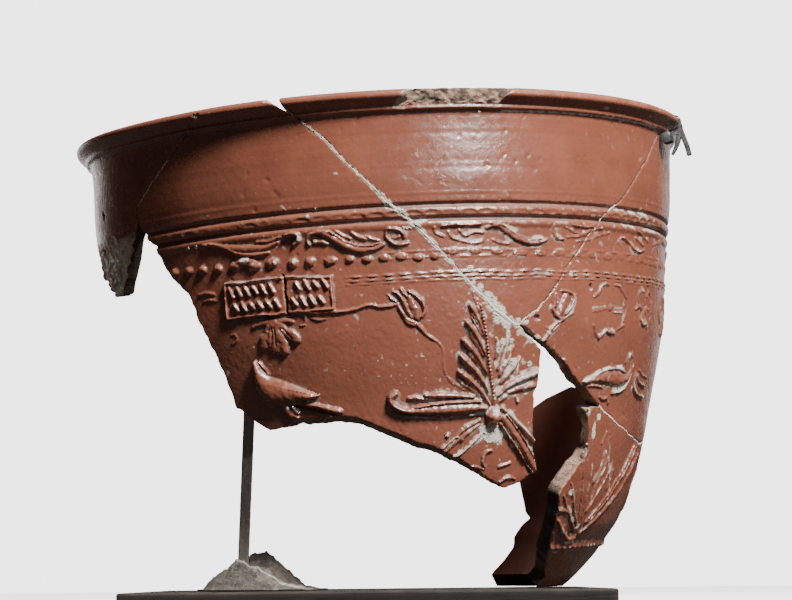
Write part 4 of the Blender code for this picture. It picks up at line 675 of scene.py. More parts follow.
def nearby(x, y, lines, reach=None):
    """For each line with points near it: its number, those points, how far away and how wide."""
    for value, line in lines:
        at = near(x, y, line, reach or line[:, 2].max())
        if len(at):
            away, wide, _ = along_line(x[at], y[at], line)
            yield value, at, away, wide


LINES = [(rise, curved(line)) for rise, line in STROKES]
for tip, root, half, rise in LEAFLETS:
    (ax, ay), (bx, by) = to_map(tip), to_map(root)
    for aside, share, high, start in ((0.0, 1.0, 1.0, 0.0), (-1.5, 0.4, 0.7, 0.22),
                                      (-2.4, 0.32, 0.55, 0.34)):
        bow = []
        for t, wide in ((0.0, 0.5), (0.12, 1.0), (0.45, 0.85), (0.75, 0.6), (1.0, 0.35)):
            t = start + (1.0 - start) * t
            bend = 2 * t * (1 - t)
            bow.append((ax + (bx - ax) * (0.62 * bend + t * t) + 0.7 * aside * (1 - 0.6 * t),
                        ay + (by - ay) * (0.40 * bend + t * t) + 0.7 * aside * (1 - 0.6 * t),
                        half * share * wide))
        LINES.append((rise * high, smoothed(bow)))
CUT_LINES = [(depth, curved(line)) for depth, line in CUTS]
ROPE_LINE = curved(PALM_ROPE[0])
PALE_LINES = [(strength, curved(line)) for strength, line in PALE_RUNS]
PALE_LINES.append((0.75, curved([(azimuth, height, 0.1 + 1.2 * half)
                                 for azimuth, height, half in SEAM_B])))
BEAD_AZIMUTHS = list(BEADS[0])
while BEAD_AZIMUTHS[-1] + BEADS[2] < BEADS[3]:
    BEAD_AZIMUTHS.append(max(BEADS[1], BEAD_AZIMUTHS[-1] + BEADS[2]))


def add_strokes(x, y, raised):
    for rise, at, away, wide in nearby(x, y, LINES):
        slim = np.minimum(1.0, 0.62 + 0.38 * wide / 1.2)
        away = away + 0.10 * rough(x[at], y[at], 1.5, 22) + 0.06 * rough(x[at], y[at], 0.8, 23)
        section = rounded(np.minimum(1.0, away / wide), 0.7 if rise > 0 else 0.25)
        raised[at] = np.maximum(raised[at], abs(rise) * slim * section)
    at = near(x, y, ROPE_LINE, 1.0)
    away, wide, far = along_line(x[at], y[at], ROPE_LINE)
    turns = 0.72 + 0.28 * np.cos(2 * pi * far / PALM_ROPE[1])
    raised[at] = np.maximum(raised[at], PALM_ROPE[2] * turns * rounded(away / wide))


def add_dome(x, y, raised, azimuth, height, wide, tall, rise, dent=0.0):
    at, dx, dy = around(x, y, azimuth, height, wide, tall)
    away = np.hypot(dx / wide, dy / tall)
    away = away + 0.12 * rough(x[at], y[at], 1.1, 28)
    dome = rounded(away, 0.6) - dent * rounded(np.minimum(1.0, away / 0.6))
    raised[at] = np.maximum(raised[at], rise * dome)


def add_rosette(x, y, raised, azimuth, height, notch, tip, petals, rise):
    at, dx, dy = around(x, y, azimuth, height, tip + 1, tip + 1)
    away, turn = np.hypot(dx, dy), np.arctan2(dy, dx)
    lobe = np.abs(np.cos(turn * petals / 2))
    edge = notch + (tip - notch) * lobe ** 0.6
    rim = rounded(np.clip((away - edge + 0.8) / 0.8, -1, 1)) * (away > edge - 1.6)
    vein = 0.5 * rounded(np.clip((1 - lobe) / 0.1, 0, 1)) * ramp(away, 1.5, 3.0)
    dish = 0.28 * (away < edge)
    raised[at] = np.maximum(raised[at], rise * np.maximum(dish + vein * (away < edge - 0.8), rim))


def add_stamp(x, y, raised):
    left, right = map_x(STAMP[0]), map_x(STAMP[1])
    top = STAMP[3] - 1.0 * ramp((x - left) / (right - left), 0.55, 1.0)
    edge = np.minimum(np.minimum(x - left, right - x), np.minimum(y - STAMP[2], top - y))
    edge = edge + 0.25 * rough(x, y, 3.0, 27)
    at = np.flatnonzero(edge > 0)
    inside = edge[at]
    field = STAMP_RISE * np.minimum(1.0, inside / 0.35)
    worn = 0.75 + 0.35 * layered(x[at], y[at], 4.0, 25)
    frame_bar = STAMP_FRAME * worn * rounded(np.clip(2 * inside / STAMP_EDGE - 1, -1, 1))
    here = field + frame_bar
    tall, half = STAMP_STROKE
    for row, (level, azimuth) in enumerate(STAMP_ROWS):
        while azimuth < STAMP[1] - 1.0:
            if not STAMP_GAP[0] < azimuth < STAMP_GAP[1]:
                chance = lattice(int(azimuth * 10), row, 26)
                mark = [(azimuth - side * STAMP_LEAN, level + side * (tall + 0.35 * chance), half)
                        for side in (-1, 1)]
                away, wide, _ = along_line(x[at], y[at], curved(mark))
                here = np.maximum(here, STAMP_RISE + 0.9 * rounded(away / wide))
            azimuth += STAMP_PITCH
    raised[at] = np.maximum(raised[at], here)


def add_lines(x, y, raised):
    """The thin beaded lines, the row at the calyx's foot and the wheel-cut bands."""
    right = x > map_x(BEAD_LINES_FROM)
    for level, half, rise, long in BEAD_LINES:
        wave = level + 0.25 * rough(x, x * 0, 9.0, 41)
        bead = 0.6 + 0.4 * np.cos(2 * pi * x / long)
        share = np.abs(y - wave) / half
        section = (share < 1) * rounded(np.minimum(share, 1))
        raised = np.maximum(raised, right * rise * bead * section)
    level, half, pitch, slant = FOOT_BEADS
    share = np.abs(y - level) / half
    lobe = np.abs(np.cos(pi * (azimuth_of(x) + slant * (y - level)) / pitch))
    raised = raised + np.where(share < 1, 0.35 * (lobe ** 1.5 - 1.0) * rounded(share), 0.0)
    azimuth = azimuth_of(x)
    kept = 1.0 - ramp(-azimuth, 56.0, 60.0) * ramp(y, 100.0, 105.0) * (azimuth > -130.0)
    for table in (BANDS, LOW_BEADS):
        raised = raised + kept * np.interp(y, [p[0] for p in table], [p[1] for p in table],
                                           left=0.0, right=0.0)
    level, half, pitch, depth = NOTCHES
    bow = ((azimuth / pitch) % 1.0 - 0.5) * 2
    share = np.hypot(bow, (y - level + 0.5 * bow * bow) / half)
    faint = 0.5 + 0.5 * rough(x, y, 9.0, 43)
    return raised - depth * faint * rounded(np.minimum(share, 1.0))


def relief(x, y):
    """Height of the outer face over the bare wall."""
    raised = np.zeros(x.shape)
    add_strokes(x, y, raised)
    for boss in BOSSES:
        add_dome(x, y, raised, *boss)
    for i, azimuth in enumerate(BEAD_AZIMUTHS):
        level, wide, tall, rise, dent = [
            np.interp(azimuth, [row[0] for row in BEAD_ROW], column)
            for column in list(zip(*BEAD_ROW))[1:]]
        level += 0.3 * lattice(i, 3, 5)
        wide *= 1.0 + 0.2 * lattice(i, 4, 5)
        add_dome(x, y, raised, azimuth, level, wide, tall, rise, dent)
    for rosette in ROSETTES:
        add_rosette(x, y, raised, *rosette)
    add_stamp(x, y, raised)
    azimuth = azimuth_of(x)
    wear = 1.0 - 0.25 * ramp(azimuth, 30.0, 44.0) * ramp(y, 62.0, 70.0)
    uneven = 0.13 * rough(x, y, 1.6, 21) + 0.09 * rough(x, y, 0.9, 24)
    raised = raised * wear + np.minimum(raised, 1.1) * uneven
    raised = add_lines(x, y, raised)
    for depth, at, away, wide in nearby(x, y, CUT_LINES):
        raised[at] -= depth * rounded(away / wide)
    return raised


def skin(x, y):
    """The unevenness of the thrown and moulded surface, apart from its ornament."""
    plain = ramp(y, 124.8, 127.0) * (1 - ramp(y, 150.0, 153.0))
    wheel = 0.035 * rough(y * 1.0, x * 0.01, 1.1, 31) + 0.06 * rough(y * 1.0, x * 0.012, 3.4, 32)
    broad = 0.10 * rough(x, y, 17.0, 33) + 0.03 * rough(x, y, 6.0, 34)
    fine = 0.020 * rough(x, y, 1.3, 35) + 0.018 * rough(x, y, 0.75, 36)
    pits = -0.22 * ramp(rough(x, y, 2.1, 37), 0.72, 0.95) * ramp(rough(x, y, 13.0, 38), -0.2, 0.6)
    return broad + plain * wheel + fine * (1.6 - 0.6 * plain) + pits


def lost(x, y):
    """What has flaked off: the skin at the lower left, and the edge of the lip at the front."""
    azimuth = azimuth_of(x)
    edge = SPALL_TOP + 1.4 * rough(x, y, 5.0, 51)
    flaked = (azimuth < SPALL_AZIMUTH + 1.5 * rough(x, y, 4.0, 52)) * ramp(edge - y, 0.0, 2.2)
    depth = SPALL_DEPTH + 0.80 * layered(x, y, 3.8, 53) + 0.40 * layered(x, y, 1.5, 54)
    return flaked * np.maximum(0.0, depth)


def chipped(x, y, radius, height):
    """Radius and height, cut back where the lip has lost its edge."""
    low, high = LIP_CHIP
    azimuth = azimuth_of(x) + 0.9 * rough(x, y, 2.6, 55) - 0.35 * (y - 157.0)
    share = ramp(azimuth, low - 0.6, low + 0.9) * (1 - ramp(azimuth, high - 0.9, high + 0.6))
    face = LIP_CHIP_RADIUS + 0.6 * layered(x, height * 1.0, 3.0, 56) + 0.3 * rough(x, y, 0.9, 57)
    face = face - 0.16 * (160.0 - y)
    foot = LIP_FOOT + 0.6 + 0.7 * layered(x, y * 0.0, 5.0, 58)
    deep = ramp(y, foot, foot + 1.6) * share * np.maximum(0.0, radius - face)
    return radius - deep, height - 0.25 * deep, np.clip(deep / 0.5, 0.0, 1.0)


# ---- colour masks
def spotted(x, y, spots, seed, cell=1.1):
    """Ragged blots: 1 inside, 0 outside."""
    mask = np.zeros(x.shape)
    for azimuth, height, wide, tall in spots:
        at, dx, dy = around(x, y, azimuth, height, wide * 1.6 + 1, tall * 1.6 + 1)
        away = np.hypot(dx / wide, dy / tall)
        away = away + 0.34 * layered(x[at], y[at], cell, seed)
        mask[at] = np.maximum(mask[at], 1.0 - ramp(away, 0.8, 1.1))
    return mask


def pale_mask(x, y):
    """Chalky deposit: blots, streaks and a thin haze of specks, with one streak that is a painted
    highlight on the lip's foot.
    """
    mask = 0.95 * spotted(x, y, PALE_SPOTS, 61)
    for strength, at, away, wide in nearby(x, y, PALE_LINES, 2.0):
        ragged = away / wide + 0.9 * rough(x[at], y[at], 1.2, 62)
        mask[at] = np.maximum(mask[at], strength * (1.0 - ramp(ragged, 0.5, 1.3)))
    specks = ramp(rough(x, y, 1.5, 63), 0.78, 0.95) * ramp(rough(x, y, 14.0, 64), -0.2, 0.6)
    specks = specks * (1.0 - 0.6 * ramp(y, 125.0, 128.0))
    specks = np.maximum(specks, ramp(rough(x, y, 0.95, 70), 0.80, 0.97)
                        * ramp(rough(x, y, 9.0, 76), -0.1, 0.5) * (1.0 - ramp(y, 125.0, 128.0)))
    azimuth = azimuth_of(x)
    haze = ramp(azimuth, 18.0, 22.0) * (1 - ramp(azimuth, 29.0, 32.0)) * ramp(y, 60.0, 66.0)
    haze = haze * (1 - ramp(y, 84.0, 90.0)) * ramp(layered(x, y, 2.2, 65), 0.35, 0.9)
    return np.maximum(mask, np.maximum(0.6 * specks, 0.6 * haze))


# ---- outlines on the map
def torn(x, y, seed):
    """How far a joint wavers from its straight course."""
    return 0.32 * rough(x, y, 3.1, seed) + 0.16 * rough(x, y, 1.0, seed + 1)


def joined(*runs):
    """One closed outline from runs that end where the next begins."""
    points = []
    for run in runs:
        points.extend(p for p in run
                      if not points or hypot(p[0] - points[-1][0], p[1] - points[-1][1]) > 0.05)
    if hypot(points[0][0] - points[-1][0], points[0][1] - points[-1][1]) < 0.05:
        points.pop()
    return [to_map(p) for p in points]


def rim_run(start, end):
    return [(start, LIP_TOP), (end, LIP_TOP)]


def on_rim(y):
    return y > LIP_TOP - 0.01


def foot_run(count=24):
    """The lower break of the lowest sherd, which lies on the board."""
    lean, pitch = radians(VASE_LEAN), radians(VASE_PITCH)
    points = []
    for i in range(count + 1):
        azimuth = FOOT_AZIMUTHS[0] + (FOOT_AZIMUTHS[1] - FOOT_AZIMUTHS[0]) * i / count
        turn, height = radians(azimuth), 0.0
        for _ in range(4):
            radius = float(outer_point(height)[0])
            height = FOOT_CLEAR - lean * radius * sin(turn) + pitch * radius * cos(turn)
        points.append((azimuth, height))
    return points


def area(points):
    x, y = points[:, 0], points[:, 1]
    return 0.5 * np.sum(x * np.roll(y, -1) - np.roll(x, -1) * y)


def break_line(corners, step, fixed_low=False):
    """The outline with even, closely set points, made ragged, and drawn in by half the gap."""
    corners = np.array(corners, float)
    if area(corners) < 0:
        corners = corners[::-1]
    points = []
    for one, two in zip(corners, np.roll(corners, -1, axis=0)):
        count = max(1, int(ceil(np.hypot(*(two - one)) / step)))
        for k in range(count):
            points.append(one + (two - one) * k / count)
    points = np.array(points)
    top = on_rim(points[:, 1])
    on_foot = fixed_low & (points[:, 1] < 6.0)
    for _ in range(2):
        eased = 0.25 * np.roll(points, 1, axis=0) + 0.5 * points \
            + 0.25 * np.roll(points, -1, axis=0)
        points = np.where((top | on_foot)[:, None], points, eased)
    x, y = points[:, 0].copy(), points[:, 1].copy()
    free = np.where(top, 0.0, ramp(LIP_TOP - y, 0.0, 1.5))
    azimuth = azimuth_of(x)
    smooth = np.maximum(ramp(azimuth, 110.0, 116.0),
                        ramp(azimuth, -68.0, -66.0) * ramp(-azimuth, 51.0, 54.0))
    low_free = np.where(on_foot, 0.0, free) * (1.0 - 0.75 * smooth)
    points[:, 0] += low_free * torn(x, y, 71)
    points[:, 1] += low_free * torn(x, y, 73)
    ahead = np.roll(points, -1, axis=0) - np.roll(points, 1, axis=0)
    ahead /= np.maximum(1e-6, np.hypot(ahead[:, 0], ahead[:, 1]))[:, None]
    shift = np.stack([-ahead[:, 1], ahead[:, 0]], axis=-1) * HALF_GAP
    points[:, 0] += shift[:, 0]
    points[:, 1] += np.where(top, 0.0, shift[:, 1])
    points[:, 1] = np.where(top, LIP_TOP, np.minimum(points[:, 1], LIP_TOP - 0.02))
    return points


def crossings(outline):
    """For a height: where the outline crosses it, from left to right, not yet sorted."""
    (ax, ay), (bx, by) = outline.T, np.roll(outline, -1, axis=0).T

    def at(y):
        hit = (ay > y) != (by > y)
        return ax[hit] + (y - ay[hit]) / (by[hit] - ay[hit]) * (bx[hit] - ax[hit])
    return at


# Height of an even triangle, how near the outline a point may stand, and the count of columns
# in the table that finds near points.
ROW_SHARE, CLEAR, COLUMNS = 0.866, 0.25, 100003


def filled(outline, zones):
    """Evenly set points inside the outline. zones says for each point which spacing it wants."""
    low, high = outline.min(axis=0), outline.max(axis=0)
    crossed = crossings(outline)
    kept = []
    for step in SPACINGS:
        for i, y in enumerate(np.arange(low[1] + 0.4 * step, high[1], ROW_SHARE * step)):
            xs = np.arange(low[0] + (0.5 * step if i % 2 else 0.0), high[0], step)
            xs = xs[np.searchsorted(np.sort(crossed(y)), xs) % 2 == 1]
            xs = xs[zones(xs, np.full(xs.shape, y)) == step]
            kept.append(np.stack([xs, np.full(xs.shape, y)], axis=-1))
    points = np.concatenate(kept)
    return points[~crowded(points, outline, CLEAR)]


def crowded(points, outline, reach):
    """Which points stand closer than this to the outline's own points."""
    table = {}
    for point in outline:
        table.setdefault((int(point[0] // reach), int(point[1] // reach)), []).append(point)
    code = np.array([i * COLUMNS + j for i, j in table])
    own = (points // reach).astype(np.int64)
    close = np.zeros(len(points), bool)
    for di in (-1, 0, 1):
        for dj in (-1, 0, 1):
            key = (own[:, 0] + di) * COLUMNS + own[:, 1] + dj
            for i in np.flatnonzero(np.isin(key, code)):
                there = np.array(table[(own[i, 0] + di, own[i, 1] + dj)])
                close[i] |= np.hypot(*(there - points[i]).T).min() < reach
    return close


def triangles(outline, points):
    """Triangles inside the outline; the outline's own points come first, in order."""
    count = len(outline)
    every = np.vstack([outline, points])
    loop = [list(range(count))]
    result = geometry.delaunay_2d_cdt([Vector(p) for p in every.tolist()], [], loop, 1, 1e-7, True)
    placed, _, faces, origins = result[0], result[1], result[2], result[3]
    if len(placed) != len(every):
        raise RuntimeError("the outline crosses itself")
    order = [min(own) for own in origins]
    found = np.array([[order[i] for i in face] for face in faces], np.int64)
    on_edge = (found < count).all(axis=1)
    keep = ~on_edge
    keep[on_edge] = inside(every[found[on_edge]].mean(axis=1), outline)
    return found[keep]


def inside(points, outline):
    """Which points lie within the outline."""
    crossed = crossings(outline)
    return np.array([np.sum(x < crossed(y)) % 2 == 1 for x, y in points], bool)


# ---- one sherd
SPACINGS = (0.4, 0.6, 1.0, 1.5)
JOINTS = [np.array([(*to_map(p), 1.0) for p in line])
          for line in (JOINT_A, JOINT_B, JOINT_B_LOW, CRACK_C, JOINT_D)]
# Spacing of an outline's points, rows of points across a break, rounds of averaging that tell
# hollows from crests, and the sharpest edge that is shaded smooth.
RING_STEP, WALL_ROWS, HOLLOW_ROUNDS, SMOOTH_BELOW = 0.45, 8, 14, 62.0


def outer_spacing(x, y):
    azimuth = azimuth_of(x)
    fine = (azimuth > -58.0) & (azimuth < 74.0) & ((y < 125.5) | (y > 150.0))
    back = (azimuth > 112.0) | (azimuth < -92.0)
    return np.where(fine, 0.4, np.where(back, 1.0, 0.6))


def inner_spacing(x, y):
    return np.full(x.shape, 1.5)


def near_joint(points):
    """1 where an outline runs along a joint with another sherd, 0 on the open breaks."""
    away = [along_line(*points.T, line)[0] for line in JOINTS]
    return 1.0 - ramp(np.min(away, axis=0), 0.9, 1.6)


def undercut(x, y):
    """How far the front sherd's lower break leans inwards."""
    shift = np.interp(azimuth_of(x), *zip(*UNDERCUT))
    return shift * (1.0 - ramp(y, UNDERCUT_TOP - 2.0, UNDERCUT_TOP + 2.0))


def outer_face(points, ring_count):
    x, y = points[:, 0], points[:, 1]
    raised = relief(x, y)
    edge = np.zeros(len(points))
    ring_x, ring_y = x[:ring_count], y[:ring_count]
    edge[:ring_count] = np.where(on_rim(ring_y), 0.0,
                                 0.10 + 0.12 * np.abs(rough(ring_x, ring_y, 1.7, 75)))
    gone = lost(x, y)
    lip = ramp(y, LIP_FOOT, LIP_FOOT + 0.8)
    lift = raised + skin(x, y) * (1.0 - 0.5 * lip) - gone - edge
    radius, height = outer_point(y)
    radius, height, cut = chipped(x, y, radius + swing(x, y), height)
    out, up = outward(y)
    places = wrapped(x, radius + lift * out, height + lift * up)
    return places, raised, np.maximum(np.clip(gone / 0.4, 0.0, 1.0), cut), cut


def inner_face(points):
    x, y = points[:, 0], points[:, 1]
    radius, height = inner_point(y)
    under = 1.0 - ramp(y, UNDER_LIP - 3.0, UNDER_LIP)
    rings = 0.16 * rough(y * 1.0, x * 0.02, 3.1, 81) + 0.10 * rough(x, y, 12.0, 82)
    fine = 0.03 * rough(x, y, 2.0, 83)
    return wrapped(x, radius + swing(x, y) + under * (rings + fine), height)


def spread(values, edges, count, rounds):
    """Each point's value, averaged again and again with its neighbours'."""
    degree = np.bincount(edges.ravel(), minlength=count).astype(float)
    for _ in range(rounds):
        total = np.bincount(edges[:, 0], values[edges[:, 1]], count) \
            + np.bincount(edges[:, 1], values[edges[:, 0]], count)
        values = 0.3 * values + 0.7 * total / np.maximum(1.0, degree)
    return values


def mesh_from(name, places, faces, slots, finishes):
    mesh = bpy.data.meshes.new(name)
    mesh.vertices.add(len(places))
    mesh.vertices.foreach_set("co", np.asarray(places, np.float32).ravel())
    mesh.loops.add(faces.size)
    mesh.loops.foreach_set("vertex_index", faces.astype(np.int32).ravel())
    mesh.polygons.add(len(faces))
    mesh.polygons.foreach_set("loop_start", np.arange(0, faces.size, 3, dtype=np.int32))
    for finish in finishes:
        mesh.materials.append(surface(finish))
    mesh.polygons.foreach_set("material_index", np.asarray(slots, np.int32))
    mesh.polygons.foreach_set("use_smooth", np.ones(len(faces), bool))
    mesh.update(calc_edges=True)
    if mesh.validate():
        raise RuntimeError(f"{name} has faces that don't join up")
    return mesh


def linked(name, data):
    obj = bpy.data.objects.new(name, data)
    bpy.context.scene.collection.objects.link(obj)
    return obj


def made_mesh(name, body, finish=None):
    """The body as a mesh, with a finish if one is given. The body is freed."""
    mesh = bpy.data.meshes.new(name)
    body.to_mesh(mesh)
    body.free()
    if finish:
        mesh.materials.append(surface(finish))
    return mesh


def add_attribute(mesh, name, values):
    mesh.attributes.new(name, "FLOAT", "POINT").data.foreach_set(
        "value", np.asarray(values, np.float32))


def inner_outline(ring, leaning, on_board):
    """The outline on the inner face, shifted where a break slopes."""
    x, y = ring.T
    inner_ring = ring.copy()
    if leaning:
        inner_ring[:, 1] += undercut(x, y)
    if on_board:
        aside, low, high, end = LOW_LEAN
        inner_ring[:, 0] += (aside * ramp(y, low, high) * (1.0 - ramp(y, high, end))
                             * (x < map_x(LOW_LEAN_RIGHT)))
    return inner_ring


def break_rows(ring, outer_places, inner_places, on_board):
    """Rows of points across the break, rough where it lies open."""
    x, y = ring.T
    top = on_rim(y)
    along = np.cumsum(np.hypot(*(ring - np.roll(ring, 1, axis=0)).T))
    ahead = np.roll(outer_places, -1, axis=0) - np.roll(outer_places, 1, axis=0)
    across = inner_places - outer_places
    normal = np.cross(across, ahead)
    normal /= np.maximum(1e-9, np.linalg.norm(normal, axis=1))[:, None]
    open_edge = np.where(top, 0.0, 1.0 - near_joint(ring)) * ramp(LIP_TOP - y, 0.2, 2.5)
    open_edge *= 1.0 - 0.8 * ramp(-azimuth_of(x), 50.0, 54.0)
    if on_board:
        open_edge *= ramp(y, 3.0, 9.0) * (1.0 - 0.7 * ramp(x, 180.0, 190.0))
    deep = np.linalg.norm(across, axis=1) / MM
    rows = []
    for row in range(1, WALL_ROWS):
        share = row / WALL_ROWS
        bow = sin(pi * share) ** 0.7
        bump = sum(rise * rough(along, deep * share, cell, seed)
                   for rise, cell, seed in ((0.28, 4.5, 91), (0.22, 1.8, 92), (0.14, 0.8, 93)))
        shift = open_edge * bow * (bump + 0.1) * MM
        lip_bow = np.where(top, -0.10 * sin(pi * share) * MM, 0.0)
        rows.append(outer_places + across * share - normal * (shift + lip_bow)[:, None])
    return rows


def sherd(name, corners, leaning=False, on_board=False):
    """One closed sherd: its worked outer face, thrown inner face and the broken edge between."""
    ring = break_line(corners, RING_STEP, on_board)
    count = len(ring)
    front = np.vstack([ring, filled(ring, outer_spacing)])
    outer = triangles(ring, front[count:])
    outer_places, raised, raw, chip = outer_face(front, count)
    inner_ring = inner_outline(ring, leaning, on_board)
    back = np.vstack([inner_ring, filled(inner_ring, inner_spacing)])
    inner = triangles(inner_ring, back[count:])
    inner_places = inner_face(back)
    rows = break_rows(ring, outer_places[:count], inner_places[:count], on_board)

    index, base = np.arange(count), len(front) + len(back)
    loops = [index] + [base + k * count + index for k in range(len(rows))] + [len(front) + index]
    sides = []
    for one, two in zip(loops, loops[1:]):
        after = np.roll(two, -1)
        sides.append(np.stack([one, two, after], axis=-1))
        sides.append(np.stack([one, after, np.roll(one, -1)], axis=-1))
    top = on_rim(ring[:, 1])
    side_slot = np.tile(np.where(top & np.roll(top, -1), 0, 1), len(sides))
    faces = np.vstack([facing(front, outer), facing(back, inner)[:, ::-1] + len(front)] + sides)
    slots = np.concatenate([np.zeros(len(outer) + len(inner), int), side_slot])
    places = np.vstack([outer_places, inner_places] + rows)
    mesh = mesh_from(name, places, faces, slots, ["red_slip", "broken_clay"])
    paint_shade_and_wear(mesh, front, ring, base, raised, raw, chip)
    mesh.set_sharp_from_angle(angle=radians(SMOOTH_BELOW))
    return mesh


def paint_shade_and_wear(mesh, front, ring, base, raised, raw, chip):
    """Masks for the finishes: painted shade in the hollows, over the inner face, on the low and
    left breaks and in patches on the chipped lip; wear and painted highlight on the crests and the
    lip's top; chalk and bare clay.
    """
    total, (x, y), (ring_x, ring_y) = len(mesh.vertices), front.T, ring.T
    edges = np.empty(len(mesh.edges) * 2, np.int32)
    mesh.edges.foreach_get("vertices", edges)

    def filled_up(values):
        return np.pad(values, (0, total - len(front)))

    lift = filled_up(raised)
    hollow = spread(lift, edges.reshape(-1, 2), total, HOLLOW_ROUNDS) - lift
    hollow[len(front):] = 0.0
    # Painted shade in the hollows of the relief.
    shade_mask = ramp(hollow, 0.02, 0.45)
    # The chipped face of the lip gets patches of painted shade as well.
    dark_chip = chip * (0.45 + 0.55 * ramp(layered(x, y, 2.0, 69), -0.5, 0.6))
    shade_mask = np.maximum(shade_mask, filled_up(dark_chip))
    # Painted shade over the whole inner face.
    shade_mask[len(front):base] = 0.85
    # Painted shade on the breaks, low down and on the left; darker along the joints too.
    low_or_left = np.maximum(1.0 - ramp(ring_y, 30.0, 34.0),
                             0.95 * ramp(-azimuth_of(ring_x), 50.0, 54.0))
    low_or_left = np.maximum(low_or_left, 0.65 * near_joint(ring))
    shade_mask[base:] = np.tile(low_or_left, (total - base) // len(ring))
    # Crests lighter: wear, and painted highlight on the ridges; the lip's top likewise.
    worn = ramp(-hollow, 0.10, 0.65)
    worn[:len(front)] = np.maximum(worn[:len(front)], worn_and_lit_lip(x, y))
    pale = np.maximum(pale_mask(x, y), settled_chalk(x, y, hollow[:len(front)]))
    # Pale bare clay where the skin has flaked off, fading towards the right: the fall-off is
    # painted light coming from the left.
    flaked = np.clip(lost(x, y) / 0.4, 0.0, 1.0) * ramp(layered(x, y, 1.1, 77), -0.8, 0.2) \
        * (0.35 + 0.65 * ramp(-azimuth_of(x), 57.0, 65.0))
    raw = np.maximum(raw, spotted(x, y, RAW_SPOTS, 66, 1.4) * ramp(y, 0.0, 1.0))
    for label, values in (("painted_shade", shade_mask), ("worn", worn),
                          ("pale", filled_up(np.maximum(pale, 0.95 * flaked))),
                          ("raw", filled_up(raw))):
        add_attribute(mesh, label, values)


def worn_and_lit_lip(x, y):
    """A lighter band along the top of the lip, more of it on the right of the bowl: wear, and
    painted highlight on the lit top of the roll.
    """
    share = ramp(y, 157.0, 158.2) * (1.0 - ramp(y, 161.0, 162.5))
    turned = ramp(azimuth_of(x), 10.0, 32.0)
    return share * (0.3 + 1.3 * turned) * (0.75 + 0.25 * layered(x, y, 3.0, 78))


def settled_chalk(x, y, hollow):
    """Chalk left beside the ornament, mostly on the right of the bowl."""
    azimuth = azimuth_of(x)
    zone = 0.12 + 0.88 * ramp(azimuth, -6.0, 26.0)
    zone = zone * (1.0 - ramp(y, 124.5, 126.0))
    for groove in GROOVES:
        zone = zone * (0.1 + 0.9 * ramp(np.abs(y - groove), 0.5, 1.1))
    ragged = layered(x, y, 2.6, 67)
    beside = ramp(hollow, 0.05, 0.22) * ramp(ragged, 0.12, 0.5)
    crest = ramp(-hollow, 0.10, 0.40) * ramp(layered(x, y, 2.1, 68), 0.25, 0.7) * 0.8
    return 0.85 * zone * np.maximum(beside, crest * ramp(azimuth, 4.0, 30.0))


def facing(points, faces):
    """The faces, all turned to run anticlockwise on the map."""
    a, b, c = points[faces[:, 0]], points[faces[:, 1]], points[faces[:, 2]]
    turn = (b[:, 0] - a[:, 0]) * (c[:, 1] - a[:, 1]) - (b[:, 1] - a[:, 1]) * (c[:, 0] - a[:, 0])
    return np.where((turn < 0)[:, None], faces[:, ::-1], faces)


def placed(name, mesh, slot, *nodes):
    """The mesh as a piece of the part, standing for these CAD nodes."""
    obj = linked(name, mesh)
    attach(obj, ROOT)
    if nodes:
        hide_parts(*nodes)
    return obj


